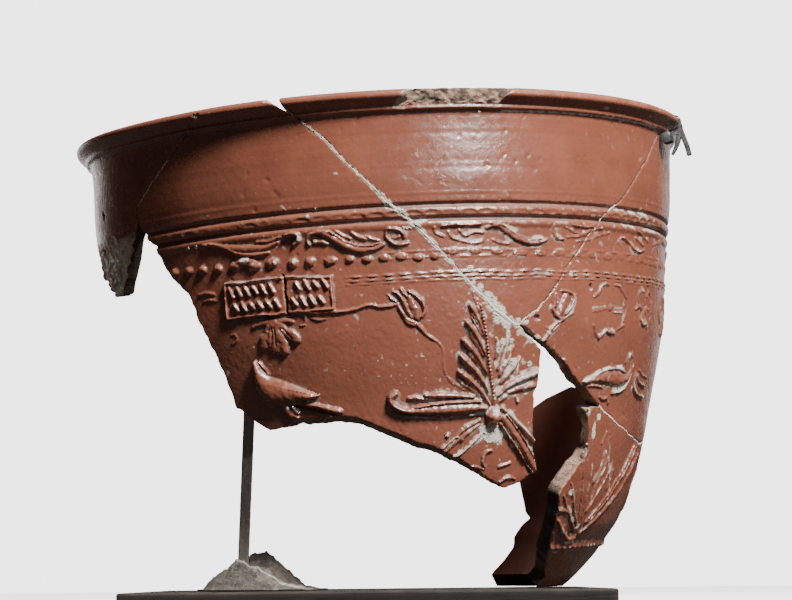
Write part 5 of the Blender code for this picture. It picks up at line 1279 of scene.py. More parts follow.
# ---- node helpers
class Nodes:
    """Adds nodes to one tree."""

    def __init__(self, tree):
        self.tree = tree
        self.shader = tree.nodes.get("Principled BSDF")

    def put(self, value, socket):
        """Links a socket to this input, or sets the input's own value."""
        if isinstance(value, bpy.types.NodeSocket):
            self.tree.links.new(value, socket)
        else:
            socket.default_value = value

    def add(self, kind, inputs=None, **settings):
        """The first output of a new node with these settings and inputs."""
        made = self.tree.nodes.new(kind)
        for key, value in settings.items():
            setattr(made, key, value)
        for key, value in (inputs or {}).items():
            self.put(value, made.inputs[key])
        return made.outputs[0] if len(made.outputs) else None

    def geo(self, kind, inputs=None, **settings):
        return self.add("GeometryNode" + kind, inputs, **settings)

    def shade(self, kind, inputs=None, **settings):
        return self.add("ShaderNode" + kind, inputs, **settings)

    def named(self, kind, output, inputs=None, **settings):
        """This output of a new shader node."""
        return self.shade(kind, inputs, **settings).node.outputs[output]

    def math(self, operation, first, second, clamp=False):
        return self.shade("Math", {0: first, 1: second}, operation=operation, use_clamp=clamp)

    def times(self, first, second, clamp=False):
        return self.math("MULTIPLY", first, second, clamp)

    def plus(self, first, second):
        return self.math("ADD", first, second)

    def most(self, first, second):
        return self.math("MAXIMUM", first, second)

    def between(self, value, low, high, to_low=0.0, to_high=1.0):
        return self.shade("MapRange", {"Value": value, "From Min": low, "From Max": high,
                                       "To Min": to_low, "To Max": to_high}, clamp=True)

    def blend(self, share, first, second):
        """Between two numbers."""
        return self.shade("Mix", {0: share, 2: first, 3: second})

    def mix(self, share, first, second):
        """Between two colours."""
        return self.named("Mix", 2, {0: share, 6: first, 7: second}, data_type="RGBA",
                          clamp_factor=True)

    def layer(self, colour, mask, share, over):
        """The colour with this much of another over it, where the mask says."""
        return self.mix(self.times(mask, share), colour, over)

    def place(self):
        return self.named("TexCoord", "Object")

    def noise(self, place, scale, detail, roughness, distortion=0.0):
        return self.named("TexNoise", "Fac", {
            "Vector": place, "Scale": scale, "Detail": detail, "Roughness": roughness,
            "Distortion": distortion})

    def attribute(self, name):
        return self.named("Attribute", "Fac", attribute_name=name)

    def effect(self, name, **values):
        """The outputs of a shared effect with these inputs."""
        tree = bpy.data.node_groups.get(name) or effect_group(name)
        made = self.shade("Group", node_tree=tree).node
        for key, value in values.items():
            self.put(value, made.inputs[key])
        return made.outputs

    def finish(self, colour, roughness, height, depth, metallic=0.0):
        """Feeds the shader. Depth is the relief that a height of 1 stands for, in millimetres."""
        bump = self.shade("Bump", {"Height": height, "Distance": depth * MM, "Strength": 1.0})
        for key, value in (("Base Color", colour), ("Roughness", roughness),
                           ("Metallic", metallic), ("Normal", bump)):
            self.put(value, self.shader.inputs[key])

    def for_camera(self, seen, other):
        """One shader where the camera looks, another for all other light."""
        return self.shade("MixShader", {0: self.shade("LightPath"), 1: other, 2: seen})


def shaded(tone, *factors):
    """The tone made lighter or darker, all channels alike or each by its own factor."""
    factors = factors * 3 if len(factors) == 1 else factors or (1.0, 1.0, 1.0)
    return (*(factor * c for factor, c in zip(factors, tone)), 1.0)


# ---- shared effects
def mottle(nodes, given):
    """Uneven colour at three sizes. Size is the width of the broad patches in millimetres."""
    place, scale = nodes.place(), nodes.math("DIVIDE", 1000.0, given["Size"])
    for finer, detail, roughness, distortion in ((1.0, 2.0, 0.5, 0.4), (4.0, 3.0, 0.6, 0.2),
                                                 (18.0, 2.0, 0.7, 0.0)):
        field = nodes.noise(place, nodes.times(scale, finer), detail, roughness, distortion)
        yield nodes.between(field, 0.3, 0.7)


def grit(nodes, given):
    """Grains and pores: their colour masks and their height. Size is a grain in millimetres."""
    place, scale = nodes.place(), nodes.math("DIVIDE", 1000.0, given["Size"])
    cells = nodes.shade("TexVoronoi", {"Vector": place, "Scale": scale, "Randomness": 1.0})
    away, tint = cells.node.outputs["Distance"], cells.node.outputs["Color"]
    tint = nodes.shade("SeparateColor", {0: tint})
    grains = nodes.times(nodes.between(away, 0.42, 0.16), nodes.between(tint, 0.45, 0.95))
    dark = nodes.times(nodes.between(away, 0.36, 0.12), nodes.between(tint, 0.16, 0.04))
    ragged = nodes.noise(place, nodes.times(scale, 0.55), 5.0, 0.65)
    pits = nodes.times(nodes.between(ragged, 0.42, 0.30), given["Pores"])
    yield grains
    yield nodes.most(dark, nodes.times(pits, 0.7))
    yield nodes.math("SUBTRACT", nodes.plus(ragged, nodes.times(grains, 0.35)),
                     nodes.plus(pits, nodes.times(dark, 0.4)))


def settled_dust(nodes, given):
    """Dust that settles on what faces up. Amount is how much."""
    normal = nodes.named("NewGeometry", "Normal")
    facing_up = nodes.named("SeparateXYZ", "Z", {0: normal})
    patchy = nodes.between(nodes.noise(nodes.place(), 420.0, 4.0, 0.65), 0.35, 0.65, 0.3)
    mask = nodes.times(nodes.between(facing_up, 0.15, 0.95), patchy)
    yield nodes.times(mask, given["Amount"], True)


# Each effect: its maker, its inputs and its outputs.
EFFECTS = {
    "Mottle": (mottle, {"Size": 12.0}, ("Broad", "Middle", "Fine")),
    "Grit": (grit, {"Size": 0.8, "Pores": 0.5}, ("Grains", "Dark", "Height")),
    "Settled dust": (settled_dust, {"Amount": 0.4}, ("Mask",)),
}


def effect_group(name):
    maker, inputs, outputs = EFFECTS[name]
    tree = bpy.data.node_groups.new(name, "ShaderNodeTree")
    for way, labels in (("INPUT", inputs), ("OUTPUT", outputs)):
        for label in labels:
            tree.interface.new_socket(label, in_out=way, socket_type="NodeSocketFloat")
    for label, default in inputs.items():
        tree.interface.items_tree[label].default_value = default
    given = tree.nodes.new("NodeGroupInput").outputs
    result = tree.nodes.new("NodeGroupOutput").inputs
    for value, socket in zip(maker(Nodes(tree), given), result):
        tree.links.new(value, socket)
    return tree


# ---- finishes
def look():
    return bpy.context.scene.arretine_looks


def clay_colour(nodes, grains):
    """The bare body of the ware, with pale grains and dark specks."""
    tone, spots = look().clay_colour, nodes.effect("Mottle", Size=9.0)
    colour = nodes.mix(spots["Broad"], shaded(tone, 0.82), shaded(tone, 1.12))
    colour = nodes.layer(colour, spots["Middle"], 0.35, shaded(tone, 0.7))
    colour = nodes.layer(colour, grains["Grains"], 0.55, shaded((0.66, 0.55, 0.44)))
    return nodes.layer(colour, grains["Dark"], 0.8, shaded(tone, 0.28))


def slip_surface(nodes):
    """Fired red slip: a fine gloss, lighter on its ridges from wear and painted highlight, with
    painted shade in its hollows and chalk on it.
    """
    tone, chalk = look().slip_colour, look().plaster_colour
    spots, grains = nodes.effect("Mottle", Size=14.0), nodes.effect("Grit", Size=0.75, Pores=0.5)
    dust = nodes.effect("Settled dust", Amount=0.22)["Mask"]
    worn, painted_shade, pale, raw = map(nodes.attribute, ("worn", "painted_shade", "pale", "raw"))
    colour = nodes.mix(spots["Broad"], shaded(tone, 0.86), shaded(tone, 1.14))
    colour = nodes.layer(colour, spots["Middle"], 0.30, shaded(tone, 0.74, 0.70, 0.70))
    colour = nodes.layer(colour, spots["Fine"], 0.16, shaded(tone, 1.5))
    # Ridges and the lip's top made lighter: wear, and painted highlight.
    rubbed = nodes.times(worn, nodes.between(spots["Middle"], 0.1, 0.8, 0.25, 0.75))
    colour = nodes.mix(rubbed, colour, shaded(tone, 1.55, 1.75, 1.8))
    # Painted shade: darker in the hollows, on the inner face and on the chipped lip.
    colour = nodes.layer(colour, painted_shade, 0.62, shaded(tone, 0.34, 0.32, 0.34))
    colour = nodes.mix(dust, colour, shaded((0.30, 0.25, 0.21)))
    bare = nodes.times(raw, nodes.between(spots["Fine"], 0.0, 0.35, 0.8))
    # Bare clay at the chip, near black where the painted shade mask says.
    clay = nodes.layer(clay_colour(nodes, grains), painted_shade, 0.9, shaded((0.040, 0.028, 0.022)))
    colour = nodes.mix(bare, colour, clay)
    colour = nodes.mix(pale, colour, nodes.mix(spots["Fine"], shaded(chalk, 0.72), shaded(chalk)))
    dull = nodes.most(pale, raw)
    gloss = nodes.blend(spots["Middle"], 0.20, 0.33)
    gloss = nodes.blend(nodes.times(painted_shade, 0.7), gloss, 0.75)
    gloss = nodes.blend(nodes.most(dull, dust), gloss, 0.92)
    height = nodes.plus(nodes.times(grains["Height"], nodes.plus(0.10, dull)),
                        nodes.times(spots["Fine"], 0.05))
    nodes.finish(colour, gloss, height, 0.30)


def break_surface(nodes):
    """The broken edge: bare pinkish clay, granular, a little dirty in patches, and near black with
    painted shade where the shade mask says.
    """
    grains, soil = nodes.effect("Grit", Size=0.9, Pores=0.9), nodes.effect("Mottle", Size=6.0)
    patchy = nodes.between(soil["Broad"], 0.0, 1.0, 0.25, 0.75)
    colour = nodes.mix(patchy, clay_colour(nodes, grains), shaded((0.10, 0.072, 0.058)))
    # Painted shade: the breaks low down, on the left and by the joints go near black.
    colour = nodes.layer(colour, nodes.attribute("painted_shade"), 0.9, shaded((0.016, 0.012, 0.010)))
    nodes.finish(colour, nodes.blend(soil["Fine"], 0.82, 0.97), grains["Height"], 0.45)


def plaster_surface(nodes):
    """Old gap-filling plaster, off white and crumbly."""
    grains, spots = nodes.effect("Grit", Size=0.6, Pores=0.7), nodes.effect("Mottle", Size=5.0)
    tone = look().plaster_colour
    colour = nodes.mix(spots["Middle"], shaded(tone, 0.78), shaded(tone))
    colour = nodes.layer(colour, grains["Dark"], 0.6, shaded(tone, 0.35))
    nodes.finish(colour, nodes.blend(spots["Fine"], 0.85, 0.98), grains["Height"], 0.25)


def iron_surface(nodes):
    """Dark iron with a film of rust."""
    spots, grains = nodes.effect("Mottle", Size=7.0), nodes.effect("Grit", Size=0.5, Pores=0.6)
    rust = nodes.times(spots["Broad"], nodes.between(spots["Middle"], 0.2, 0.8))
    colour = nodes.mix(rust, shaded((0.24, 0.226, 0.215)), shaded((0.28, 0.19, 0.14)))
    colour = nodes.layer(colour, grains["Grains"], 0.4, shaded((0.16, 0.10, 0.07)))
    nodes.finish(colour, nodes.blend(rust, 0.45, 0.9), grains["Height"], 0.12,
                 nodes.blend(rust, 0.45, 0.05))


def lump_surface(nodes):
    """Modelling clay: dull grey brown, thumbed smooth in places, with grit pressed in, and painted
    light on its rear lobe.
    """
    spots, grains = nodes.effect("Mottle", Size=8.0), nodes.effect("Grit", Size=0.7, Pores=0.5)
    dust, tone = nodes.effect("Settled dust", Amount=0.55)["Mask"], look().lump_colour
    colour = nodes.mix(spots["Broad"], shaded(tone, 0.16), shaded(tone, 0.6))
    colour = nodes.layer(colour, spots["Middle"], 0.7, shaded(tone, 0.25))
    colour = nodes.layer(colour, grains["Grains"], 0.8, shaded(tone, 3.0))
    colour = nodes.mix(dust, colour, shaded(tone, 2.4))
    # Painted light: a far lighter copy of the clay's tone on the rear lobe, and on lighter patches
    # of the front lobe.
    painted_light_and_patches = nodes.mix(spots["Middle"], shaded(tone), shaded(tone, 5.5))
    colour = nodes.mix(nodes.attribute("painted_light_and_patches"), colour, painted_light_and_patches)
    colour = nodes.mix(nodes.attribute("worn"), colour, shaded((0.80, 0.78, 0.74)))
    nodes.finish(colour, nodes.blend(spots["Fine"], 0.55, 0.85),
                 nodes.plus(grains["Height"], spots["Fine"]), 0.5)


def lead_surface(nodes):
    """Soft grey metal strip, tarnished, bright where it was scraped."""
    spots = nodes.effect("Mottle", Size=3.0)
    colour = nodes.mix(spots["Broad"], shaded((0.022, 0.022, 0.024)), shaded((0.08, 0.08, 0.08)))
    colour = nodes.layer(colour, spots["Middle"], 0.5, shaded((0.02, 0.02, 0.02)))
    colour = nodes.mix(nodes.attribute("pale"), colour, shaded((0.66, 0.64, 0.60)))
    nodes.finish(colour, nodes.blend(spots["Middle"], 0.42, 0.75), spots["Fine"], 0.08,
                 nodes.blend(spots["Broad"], 0.75, 0.35))


def wood_surface(nodes):
    """Dark stained wood with long grain and rubbed edges."""
    place, tone = nodes.place(), look().wood_colour
    along, across = (nodes.shade("Mapping", {"Vector": place, "Scale": scale})
                     for scale in ((55.0, 900.0, 900.0), (220.0, 3200.0, 3200.0)))
    streak = nodes.between(nodes.noise(along, 1.0, 4.0, 0.6, 0.6), 0.32, 0.68)
    pore = nodes.between(nodes.noise(across, 1.0, 2.0, 0.6), 0.62, 0.74)
    dust = nodes.effect("Settled dust", Amount=0.12)["Mask"]
    colour = nodes.mix(streak, shaded(tone, 0.12), shaded(tone, 0.36))
    colour = nodes.layer(colour, pore, 0.7, shaded(tone, 0.3))
    colour = nodes.layer(colour, nodes.effect("Mottle", Size=30.0)["Middle"], 0.3,
                         shaded(tone, 0.5))
    colour = nodes.mix(nodes.attribute("worn"), colour, shaded(tone, 1.8))
    colour = nodes.mix(dust, colour, shaded((0.20, 0.18, 0.16)))
    nodes.shader.inputs["Specular IOR Level"].default_value = 0.15
    nodes.finish(colour, nodes.blend(streak, 0.62, 0.82),
                 nodes.math("SUBTRACT", nodes.times(streak, 0.5), pore), 0.12)


def paper_surface(nodes):
    """The plain pale sheet under the board. It throws little light back up at the bowl."""
    tone, shader = look().floor_colour, nodes.shader
    broad = nodes.effect("Mottle", Size=60.0)["Broad"]
    for key, value in (("Base Color", nodes.mix(broad, shaded(tone, 0.98), shaded(tone))),
                       ("Roughness", 0.95), ("Emission Color", shaded((1.0, 1.0, 1.0))),
                       ("Emission Strength", 2.6)):
        nodes.put(value, shader.inputs[key])
    dull = nodes.shade("BsdfDiffuse", {"Color": shaded(tone, 0.05)})
    out = next(node for node in nodes.tree.nodes if node.type == "OUTPUT_MATERIAL")
    nodes.put(nodes.for_camera(shader.outputs[0], dull), out.inputs["Surface"])


MAKERS = {
    "red_slip": slip_surface, "broken_clay": break_surface, "gap_plaster": plaster_surface,
    "dark_iron": iron_surface, "modelling_clay": lump_surface, "lead_strip": lead_surface,
    "stained_wood": wood_surface, "pale_paper": paper_surface,
}


def surface(name):
    """The material of this finish, made the first time it is asked for."""
    label = name + "_finish"
    made = bpy.data.materials.get(label)
    if not made:
        made = bpy.data.materials.new(label)
        made.use_nodes = True
        MAKERS[name](Nodes(made.node_tree))
    return made


# ---- geometry node trees
def shape_tree(name, inputs):
    """A Geometry Nodes tree with a geometry input and output, these inputs and a material."""
    tree = bpy.data.node_groups.new(name, "GeometryNodeTree")
    for way in ("INPUT", "OUTPUT"):
        tree.interface.new_socket("Geometry", in_out=way, socket_type="NodeSocketGeometry")
    kinds = {float: "NodeSocketFloat", int: "NodeSocketInt", tuple: "NodeSocketVector"}
    for label, default in inputs.items():
        made = tree.interface.new_socket(label, in_out="INPUT", socket_type=kinds[type(default)])
        made.default_value = default
    tree.interface.new_socket("Material", in_out="INPUT", socket_type="NodeSocketMaterial")
    return Nodes(tree), tree.nodes.new("NodeGroupInput").outputs


def close_tree(nodes, shape, given):
    """Makes this shape the tree's result, as one plain mesh of the given material."""
    real = nodes.geo("RealizeInstances", {"Geometry": shape})
    dressed = nodes.geo("SetMaterial", {"Geometry": real, "Material": given["Material"]})
    nodes.put(dressed, nodes.tree.nodes.new("NodeGroupOutput").inputs[0])
    return nodes.tree


def smooth(mesh, degrees=None):
    """Shades the mesh smooth, but for edges sharper than this."""
    mesh.polygons.foreach_set("use_smooth", np.ones(len(mesh.polygons), bool))
    if degrees:
        mesh.set_sharp_from_angle(angle=radians(degrees))
    return mesh


def grown(name, source, tree, slot, values):
    """The mesh that the tree makes from the source mesh, as plain data."""
    holder = linked(name + "_source", source)
    modifier = holder.modifiers.new("shape", "NODES")
    modifier.node_group = tree
    values["Material"] = surface(slot)
    for item in tree.interface.items_tree:
        if item.item_type == "SOCKET" and item.in_out == "INPUT" and item.name in values:
            modifier[item.identifier] = values[item.name]
    ready = holder.evaluated_get(bpy.context.evaluated_depsgraph_get())
    mesh = bpy.data.meshes.new_from_object(ready)
    mesh.name = name
    holder.modifiers.remove(modifier)
    bpy.data.objects.remove(holder)
    if not mesh.polygons:
        raise RuntimeError(f"{name} came out empty")
    return mesh


def shifted(nodes, shape, amount, size, seed):
    """Pushes every point a little to and fro, by noise of this size in metres."""
    place = nodes.shade("VectorMath", {0: nodes.geo("InputPosition"),
                                       1: (seed * 0.37, seed * 0.11, 0.0)}, operation="ADD")
    field = nodes.named("TexNoise", "Color", {"Vector": place, "Scale": size, "Detail": 2.0})
    centred = nodes.shade("VectorMath", {0: field, 1: (0.5, 0.5, 0.5)}, operation="SUBTRACT")
    offset = nodes.shade("VectorMath", {0: centred, "Scale": amount}, operation="SCALE")
    return nodes.geo("SetPosition", {"Geometry": shape, "Offset": offset})


# ---- iron rod
ROD_SIZE = (3.6, 1.9, 90.0)
ROD_FOOT = (-54.6, -46.0, 3.4)
ROD_TILT = (20.6, 3.9)


def rod_tree():
    nodes, given = shape_tree("Flat bar", {
        "Width": 0.0036, "Thickness": 0.0019, "Length": 0.09, "Corner": 0.0003,
        "Foot": (0.0, 0.0, 0.0), "Tilt": (0.0, 0.0, 0.0), "Waver": 0.0002})
    top = nodes.shade("CombineXYZ", {"Z": given["Length"]})
    line = nodes.geo("CurvePrimitiveLine", {"End": top})
    line = nodes.geo("ResampleCurve", {"Curve": line, "Count": 110})
    section = nodes.geo("CurvePrimitiveQuadrilateral", {"Width": given["Width"],
                                                        "Height": given["Thickness"]})
    section = nodes.geo("FilletCurve", {"Curve": section, "Radius": given["Corner"], "Count": 2},
                        mode="POLY")
    section = nodes.geo("ResampleCurve", {"Curve": section, "Count": 36})
    bar = nodes.geo("CurveToMesh", {"Curve": line, "Profile Curve": section, "Fill Caps": True})
    bar = shifted(nodes, bar, given["Waver"], 900.0, 3)
    bar = nodes.geo("Transform", {"Geometry": bar, "Translation": given["Foot"],
                                  "Rotation": given["Tilt"]})
    return close_tree(nodes, bar, given)


# ---- lump of modelling clay
CLAY_CENTRE = (-50.5, -46.0)
# Half widths of the lump on the board: to the left, to the right, to the front and back.
CLAY_BASE = (19.3, 23.0, 16.0)
# Two lobes: place of the top, its height, reach to the left, right and front or back, flat top.
CLAY_LOBES = [(-55.8, -50.0, 10.2, 12.6, 23.0, 11.0, 0.03),
              (-50.4, -43.5, 12.2, 9.0, 18.5, 12.0, 0.19)]
# Thumbed hollows: place, how deep, how wide.
THUMBS = [(-41.0, -52.0, 1.0, 3.4), (-61.0, -55.5, 0.8, 3.0), (-51.0, -56.6, 1.0, 2.2),
          (-36.5, -45.0, 0.7, 3.2), (-45.0, -58.0, 0.7, 2.6), (-62.0, -42.0, 1.2, 4.0),
          (-48.0, -34.0, 1.4, 4.0)]
# A bright thread of clay that lies on the front lobe's ridge.
CLAY_FOLD = np.array([(-56.0, -51.2, 0.35), (-35.2, -56.8, 0.35)])
CLAY_TURNS, CLAY_RINGS = 220, 84
CLAY_RIM, CLAY_UNDER = 0.7, 0.15


def clay_height(x, y):
    """Height of the lump: two lobes that run into one skirt, thumbed and crumbled."""
    wide = np.where(x < CLAY_CENTRE[0], CLAY_BASE[0], CLAY_BASE[1])
    dx, dy = (x - CLAY_CENTRE[0]) / wide, (y - CLAY_CENTRE[1]) / CLAY_BASE[2]
    skirt = np.maximum(0.0, 1.0 - np.hypot(dx, dy))
    high = 1.6 * np.minimum(1.0, skirt * 3.0)
    for px, py, top, left, right, deep, flat in CLAY_LOBES:
        away = np.hypot((x - px) / np.where(x < px, left, right), (y - py) / deep)
        high = np.maximum(high, top * (1.0 - np.maximum(0.0, away - flat) / (1.0 - flat)))
    for px, py, deep, wide in THUMBS:
        hollow = deep * np.exp(-(np.hypot(x - px, y - py) / wide) ** 2)
        high = high - hollow * ramp(skirt, 0.02, 0.3)
    lumps = 0.7 * layered(x, y, 4.0, 101) + 0.6 * np.abs(rough(x, y, 1.9, 102)) \
        + 0.3 * rough(x, y, 0.9, 103)
    return np.maximum(0.0, high * np.minimum(1.0, skirt * 6.0)
                      + lumps * np.minimum(1.0, skirt * 4.0))


def clay_fold(x, y):
    away, wide, _ = along_line(x, y, CLAY_FOLD)
    return rounded(np.minimum(1.0, away / wide))


def clay_mesh(name):
    """Rings from the lump's middle to its rim and back underneath, joined into one skin."""
    turn = np.linspace(0.0, 2 * pi, CLAY_TURNS, endpoint=False)
    ragged = 1.0 + 0.05 * np.sin(3 * turn + 0.6) + 0.035 * np.sin(7 * turn) \
        + 0.012 * rough(turn * 8.0, turn * 0.0, 1.0, 104)
    reach = np.concatenate([np.linspace(0.0, 1.0, CLAY_RINGS)[1:] ** 0.9, [1.01, 0.99]])
    half = np.where(np.cos(turn) < 0, CLAY_BASE[0], CLAY_BASE[1])
    places = []
    for i, flat in enumerate(reach):
        x = CLAY_CENTRE[0] + half * ragged * flat * np.cos(turn)
        y = CLAY_CENTRE[1] + CLAY_BASE[2] * ragged * flat * np.sin(turn)
        if i < CLAY_RINGS - 2:
            z = np.maximum(0.75, clay_height(x, y) + 0.5 + 0.5 * clay_fold(x, y))
        else:
            z = np.full(x.shape, (CLAY_RIM, 0.4, CLAY_UNDER)[i - CLAY_RINGS + 2])
        places.append(np.stack([x, y, z], axis=-1))
    top = clay_height(np.array([CLAY_CENTRE[0]]), np.array([CLAY_CENTRE[1]]))[0] + 0.75
    grid = np.concatenate(places)
    every = np.vstack([grid, [(*CLAY_CENTRE, top), (*CLAY_CENTRE, CLAY_UNDER)]])
    index = np.arange(CLAY_TURNS)
    after = np.roll(index, -1)
    last = len(grid) - CLAY_TURNS
    faces = [np.stack([np.full(CLAY_TURNS, len(grid)), index, after], axis=-1)]
    for low in range(0, last, CLAY_TURNS):
        high = low + CLAY_TURNS
        faces.append(np.stack([low + index, high + index, high + after], axis=-1))
        faces.append(np.stack([low + index, high + after, low + after], axis=-1))
    faces.append(np.stack([np.full(CLAY_TURNS, len(grid) + 1), last + after, last + index],
                          axis=-1))
    faces = np.concatenate(faces)
    on_board = every + (*VASE_AXIS, BOARD_HIGH[2] / MM)
    mesh = mesh_from(name, on_board * MM, faces, np.zeros(len(faces)), ["modelling_clay"])
    x, y = every[:, 0], every[:, 1]
    (ax, ay, _), (bx, by, _) = CLAY_FOLD
    behind = y - ay - (x - ax) * (by - ay) / (bx - ax)
    add_attribute(mesh, "worn", 0.9 * clay_fold(x, y))
    # Painted light on the rear lobe behind the fold, and lighter patches on the front lobe.
    add_attribute(mesh, "painted_light_and_patches", ramp(behind, 0.3, 1.5) * ramp(layered(x, y, 5.0, 105), -1.4, 0.6)
                  + 0.5 * ramp(layered(x, y, 3.0, 106), 0.35, 0.9) * (behind < 0.3))
    return mesh


# ---- tie over the rim
TIE_WIDTH = 1.9
TIE_OVER = [(76.0, 98.9, 150.8, 0.5), (76.0, 101.4, 155.6, 0.5), (75.8, 102.7, 158.4, 0.35),
            (75.4, 104.1, 159.75, 0.3), (74.8, 106.4, 160.2, 0.3), (74.0, 108.5, 159.8, 0.3),
            (73.2, 109.7, 158.4, 0.4), (72.6, 110.0, 156.8, 0.6), (72.2, 110.1, 155.2, 1.0),
            (72.0, 110.5, 153.2, 1.5), (72.0, 111.2, 150.6, 1.6), (72.0, 112.1, 147.6, 1.6),
            (72.0, 112.6, 144.9, 1.5)]
TIE_TAIL = [(71.7, 110.1, 156.4, 0.9), (71.4, 110.0, 153.8, 1.5), (71.2, 109.5, 151.0, 1.6),
            (71.0, 108.5, 148.0, 1.3), (70.9, 107.0, 145.3, 0.7)]
TIE_BAND = [(68.4, 106.9, 151.5, 1.1), (69.8, 107.8, 152.2, 1.1), (71.4, 109.8, 153.4, 1.2)]
# The knot: its azimuth, radius and height, its size and its lean. Then the scraped spot by it.
TIE_KNOT = ((68.2, 106.8, 150.6), (2.9, 4.8, 3.8), -14.0)
TIE_SCRAPE = (67.2, 108.8, 152.2)
# Half of the strip's section, its ends rounded and its faces a little hollow.
STRIP_HALF = [(-1, -0.5), (-0.86, -1), (-0.3, -0.94), (0.3, -0.94), (0.86, -1), (1, -0.5)]
STRIP_SECTION = STRIP_HALF + [(x, -y) for x, y in STRIP_HALF[::-1]]


def on_bowl(azimuth, radius, height):
    return wrapped(np.radians(azimuth) * MAP_R, np.array(radius), np.array(height))


def strip(body, path, width, upright=False):
    """Adds a bent strip along (azimuth, radius, height, thickness), with rounded long edges."""
    fine = np.array(spline(np.array([path[0], *path, path[-1]], float), 4))
    centre = [Vector(p) for p in on_bowl(*fine[:, :3].T)]
    rings = []
    for i, row in enumerate(fine):
        turn = radians(row[0])
        side = Vector((0.0, 0.0, 1.0)) if upright else Vector((cos(turn), sin(turn), 0.0))
        along = centre[min(i + 1, len(fine) - 1)] - centre[max(i - 1, 0)]
        face = along.cross(side).normalized() * row[3] / 2 * MM
        side = side * width / 2 * MM
        waver = 1.0 + 0.06 * lattice(np.array(i), np.array(len(fine)), 7)
        rings.append([body.verts.new(centre[i] + side * a * waver + face * b)
                      for a, b in STRIP_SECTION])
    for one, two in zip(rings, rings[1:]):
        for i in range(len(one)):
            after = (i + 1) % len(one)
            body.faces.new((one[i], one[after], two[after], two[i]))
    body.faces.new(rings[0][::-1])
    body.faces.new(rings[-1])


def block(cuts):
    """A cube of size 1 with a grid on each face."""
    body = bmesh.new()
    bmesh.ops.create_cube(body, size=1.0)
    bmesh.ops.subdivide_edges(body, edges=body.edges[:], cuts=cuts, use_grid_fill=True)
    return body


def close_body(body):
    bmesh.ops.recalc_face_normals(body, faces=body.faces)
    bmesh.ops.triangulate(body, faces=body.faces)


def tie_knot():
    """The lump where the strip is twisted, as a mesh in its place."""
    middle, size, lean = TIE_KNOT
    knot = block(7)
    tilted = Euler((0.0, radians(lean), radians(middle[0]) - pi / 2)).to_matrix()
    turn = Matrix.Translation(Vector(on_bowl(*middle))) @ (VASE_TURN @ tilted).to_4x4()
    for vert in knot.verts:
        place = vert.co.lerp(vert.co.normalized() * 0.62, 0.35)
        groove = 0.05 * cos(3 * pi * place.z) * (1 - abs(place.y))
        place.x += copysign(groove, place.x) if abs(place.x) > 0.3 else 0.0
        vert.co = turn @ Vector([place[i] * size[i] * MM for i in range(3)])
    return made_mesh("tie_knot", knot)


def tie_mesh(name):
    body = bmesh.new()
    strip(body, TIE_OVER, TIE_WIDTH)
    strip(body, TIE_TAIL, TIE_WIDTH * 0.9)
    strip(body, TIE_BAND, TIE_WIDTH * 0.7, True)
    knot = tie_knot()
    body.from_mesh(knot)
    bpy.data.meshes.remove(knot)
    close_body(body)
    mesh = smooth(made_mesh(name, body, "lead_strip"), 50.0)
    places = np.array([v.co for v in mesh.vertices])
    away = np.linalg.norm(places - on_bowl(*TIE_SCRAPE), axis=1) / MM
    add_attribute(mesh, "pale", 1.0 - ramp(away, 0.7, 1.2))
    return mesh


# ---- board
def chance_at(x, y, cell, seed):
    """Noise at one place."""
    return float(rough(np.array(x), np.array(y), cell, seed))


def in_order(faces):
    """Triangles sorted, each from its lowest point on, so that every run lists them alike."""
    first = faces.argmin(axis=1)[:, None]
    turned = np.take_along_axis(faces, (first + np.arange(3)) % 3, axis=1)
    return turned[np.lexsort(turned.T[::-1])]


def board_mesh(name):
    """A sawn board: its faces a little uneven, its edges rubbed and nicked."""
    body = block(15)
    size = BOARD_HIGH - BOARD_LOW
    middle = (BOARD_HIGH + BOARD_LOW) / 2
    for vert in body.verts:
        vert.co = Vector([vert.co[i] * size[i] for i in range(3)]) + middle
    edges = [e for e in body.edges if len(e.link_faces) == 2
             and abs(e.link_faces[0].normal.dot(e.link_faces[1].normal)) < 0.5]
    bmesh.ops.bevel(body, geom=edges, offset=0.8 * MM, segments=3, profile=0.5, affect="EDGES")
    long = [e for e in body.edges if e.calc_length() > 3.5 * MM]
    bmesh.ops.subdivide_edges(body, edges=long, cuts=3, use_grid_fill=True)
    close_body(body)
    body.normal_update()
    for vert in body.verts:
        (x, y, z), normal = vert.co / MM, vert.normal
        corner = 1.0 - max(abs(normal.x), abs(normal.y), abs(normal.z))
        wave = 0.06 * chance_at(x / 4, y + z, 2.2, 111) + 0.05 * chance_at(x + z, y, 9.0, 112)
        nick = float(ramp(chance_at(x + y, z, 4.0, 113), 0.5, 0.9))
        vert.co -= normal * (0.05 + 0.4 * wave + corner * 0.9 * nick) * MM
    body.verts.index_update()
    places = np.array([vert.co for vert in body.verts])
    faces = in_order(np.array([[vert.index for vert in face.verts] for face in body.faces]))
    body.free()
    mesh = mesh_from(name, places, faces, np.zeros(len(faces)), ["stained_wood"])
    mesh.set_sharp_from_angle(angle=radians(40.0))
    worn = []
    for vert in mesh.vertices:
        near_edge = sorted(min(abs(vert.co[i] - BOARD_LOW[i]), abs(vert.co[i] - BOARD_HIGH[i]))
                           for i in range(3))[1] / MM
        chance = chance_at(vert.co.x / MM, vert.co.y / MM, 7.0, 114)
        worn.append(max(0.0, 0.55 + 0.5 * chance) * (1.0 - min(1.0, near_edge / 1.6)))
    add_attribute(mesh, "worn", worn)
    return mesh


